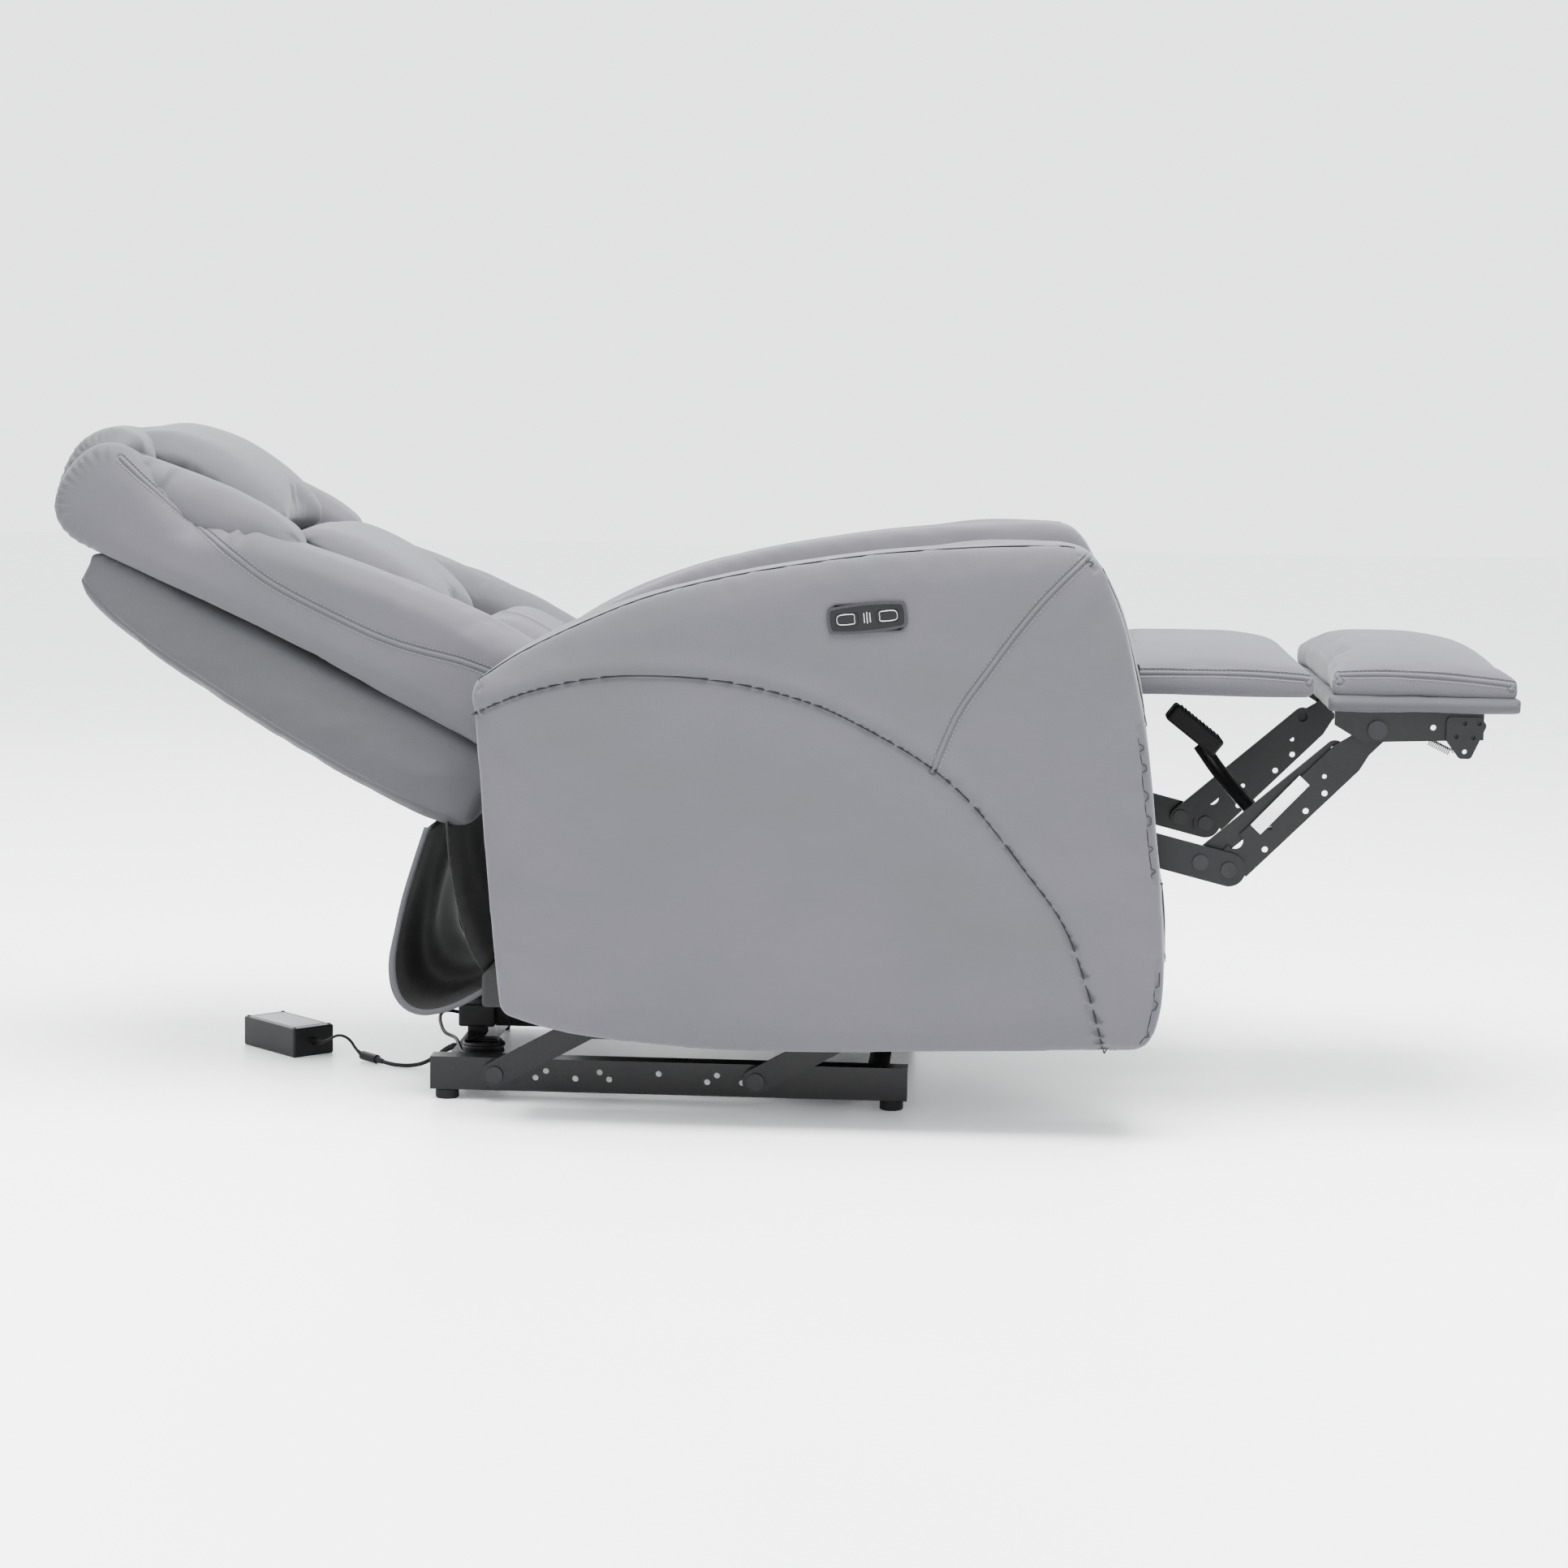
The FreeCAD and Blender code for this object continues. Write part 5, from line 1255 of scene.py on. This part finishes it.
# ---------------------------------------------------------------- hard details
def rounded_box(name, centre, size, radius, material, body, turn=0.0, segments=3):
    """Moulded block with rounded edges, turned about the Y axis."""
    bm = bmesh.new()
    bmesh.ops.create_cube(bm, size=1.0)
    for v in bm.verts:
        v.co = Vector((v.co.x * size[0], v.co.y * size[1], v.co.z * size[2]))
    bmesh.ops.bevel(bm, geom=list(bm.edges), offset=radius, segments=segments, profile=0.5, affect="EDGES")
    spin = Matrix.Rotation(turn, 4, "Y")
    bmesh.ops.transform(bm, matrix=Matrix.Translation(centre) @ spin, verts=bm.verts)
    mesh = bpy.data.meshes.new(name)
    bm.to_mesh(mesh)
    bm.free()
    mesh.materials.append(material)
    obj = link_object(name, mesh)
    for polygon in obj.data.polygons:
        polygon.use_smooth = True
    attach(obj, body)
    return obj


def helix(name, start, end, radius, wire, turns, material, body):
    start, end = Vector(start), Vector(end)
    axis = (end - start).normalized()
    across = axis.cross(Vector((0, 1, 0))).normalized()
    other = axis.cross(across)
    path = []
    steps = turns * 14
    for i in range(steps + 1):
        a = 2 * math.pi * i / 14
        path.append(start.lerp(end, i / steps) + (across * math.cos(a) + other * math.sin(a)) * radius)
    for tip, inward, away in ((start, path[0], -1), (end, path[-1], 1)):
        hook = [inward.lerp(tip + axis * away * 0.004, k / 4) for k in range(1, 5)]
        path = (list(reversed(hook)) + path) if away < 0 else (path + hook)
    obj = tube(name, path, wire, material, 8)
    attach(obj, body)
    return obj


def make_switch():
    low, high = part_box("switch_bezel")
    centre, face = (low + high) / 2, low.y
    turn = -math.radians(6.5)

    def place(x, z, y):
        spin = Matrix.Rotation(turn, 3, "Y")
        p = spin @ Vector((x, 0, z))
        return Vector((centre.x + p.x, y, centre.z + p.z))

    for k, x in enumerate((-0.0032, 0.0, 0.0032)):
        tall = 0.0125 if k == 1 else 0.0105
        rounded_box("switch_bar_%d" % (k + 1), place(x, 0, face + 0.0006), (0.0014, 0.0014, tall), 0.0004, MARK,
                    "chair", turn)
    for name, body, side in (("button_open", "open_button", -1), ("button_close", "close_button", 1)):
        a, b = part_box(name)
        mid = (a + b) / 2
        loop = []
        for i in range(40):
            t = 2 * math.pi * i / 40
            x = 0.0096 * math.copysign(abs(math.cos(t)) ** 0.45, math.cos(t))
            z = 0.0055 * math.copysign(abs(math.sin(t)) ** 0.45, math.sin(t))
            x += side * 0.0013 * (1 - (z / 0.0055) ** 2)
            p = Matrix.Rotation(turn, 3, "Y") @ Vector((x, 0, z))
            loop.append(Vector((mid.x + p.x, a.y - 0.0001, mid.z + p.z)))
        outline = tube(name + "_outline", loop, 0.00055, MARK, 6, True)
        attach(outline, body)


def make_link_details():
    """Blank label on the near upper link, and the footrest's end springs."""
    face = -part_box("upper_links")[1].y - 0.0008
    rounded_box("blank_label", Vector((0.5665, face, 0.3605)), (0.078, 0.0009, 0.0155), 0.0003, WHITE,
                "upper_arms", math.radians(-47.0), 2)
    low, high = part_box("footrest_end_springs")
    for side in (-1, 1):
        y = side * (high.y - 0.0045)
        coil = helix("end_spring_" + ("right" if side < 0 else "left"), (low.x + 0.002, y, high.z - 0.002),
                     (high.x - 0.003, y, low.z + 0.004), 0.0038, 0.0008, 11, SPRING, "footrest")
        if side < 0:
            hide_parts("footrest_end_springs")


def make_bumper():
    """Ribs across the block's top."""
    node = frame["nodes"]["bumper_pad"]
    co = np.array([v.co for v in node.data.vertices], float)
    centre = co.mean(0)
    tilt = math.radians(38.0)
    along = np.array((math.cos(tilt), 0, -math.sin(tilt)))
    up = np.array((math.sin(tilt), 0, math.cos(tilt)))
    reach = ((co - centre) @ along).max() - 0.009
    top = ((co - centre) @ up).max()
    half = (co[:, 1].max() - co[:, 1].min()) / 2 - 0.004
    count = 11
    for i in range(count):
        at = centre + along * (-reach + 2 * reach * i / (count - 1)) + up * (top + 0.0002)
        rounded_box("bumper_rib_%02d" % (i + 1), Vector(at), (0.0026, 2 * half, 0.0026), 0.0009, RUBBER,
                    "upper_arms", tilt, 2)


def make_adapter():
    """Blank rating plate and the case's screws."""
    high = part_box("adapter_case")[1]
    co = np.array([v.co for v in frame["nodes"]["adapter_case"].data.vertices], float)
    top = co[co[:, 2] > high.z - 0.0005]
    across = np.array((math.cos(ADAPTER_TURN), math.sin(ADAPTER_TURN)))
    other = np.array((-across[1], across[0]))
    u, v = top[:, :2] @ across, top[:, :2] @ other
    centre = across * (u.max() + u.min()) / 2 + other * (v.max() + v.min()) / 2
    half_u, half_v = (u.max() - u.min()) / 2, (v.max() - v.min()) / 2
    spin = Matrix.Translation((centre[0], centre[1], high.z)) @ Matrix.Rotation(ADAPTER_TURN, 4, "Z")
    plate = rounded_box("adapter_plate", Vector((0, 0, 0)), (2 * half_u - 0.020, 2 * half_v - 0.012, 0.0009),
                        0.0003, LABEL, "base")
    plate.data.transform(spin)
    for k, (a, b) in enumerate(((-1, -1), (-1, 1), (1, -1), (1, 1))):
        bm = bmesh.new()
        bmesh.ops.create_cone(bm, cap_ends=True, segments=20, radius1=0.0027, radius2=0.0022, depth=0.0014)
        bmesh.ops.bevel(bm, geom=list(bm.edges), offset=0.0003, segments=2, affect="EDGES")
        mesh = bpy.data.meshes.new("adapter_screw_%d" % (k + 1))
        bm.to_mesh(mesh)
        bm.free()
        mesh.transform(spin @ Matrix.Translation((a * (half_u - 0.004), b * (half_v - 0.003), 0.0004)))
        mesh.materials.append(BOLT)
        screw = link_object(mesh.name, mesh)
        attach(screw, "base")


def make_hard_details():
    make_rear_flap()
    make_switch()
    make_link_details()
    make_bumper()
    make_adapter()


make_arms()
make_wings()
make_pillows()
make_shell()
make_seat()
make_leg_pads()
make_hard_details()


# ---------------------------------------------------------------- stage
def make_stage():
    mesh = bpy.data.meshes.new("floor")
    size = 14.0
    corners = [(-size, -size, 0), (size, -size, 0), (size, size, 0), (-size, size, 0)]
    mesh.from_pydata(corners, [], [(0, 1, 2, 3)])
    mesh.materials.append(FLOOR)
    link_object("floor", mesh)
    world = bpy.data.worlds.new("world")
    world.use_nodes = True
    background = world.node_tree.nodes["Background"]
    background.inputs["Color"].default_value = (0.96, 0.98, 1.0, 1.0)
    background.inputs["Strength"].default_value = 2.9
    bpy.context.scene.world = world
    lamps = (
        ("key_light", (0.1, -0.7, 3.4), (0.0, 0.0, 0.4), 2.4, 640.0),
        ("front_light", (0.8, -4.6, 1.9), (0.0, 0.0, 0.35), 3.2, 60.0),
        ("rear_light", (-1.8, 2.6, 2.6), (0.0, 0.0, 0.4), 2.6, 90.0),
    )
    for name, place, target, width, power in lamps:
        data = bpy.data.lights.new(name, "AREA")
        data.shape = "SQUARE"
        data.size = width
        data.energy = power
        lamp = link_object(name, data)
        lamp.location = place
        lamp.rotation_euler = (Vector(target) - Vector(place)).to_track_quat("-Z", "Y").to_euler()


make_stage()
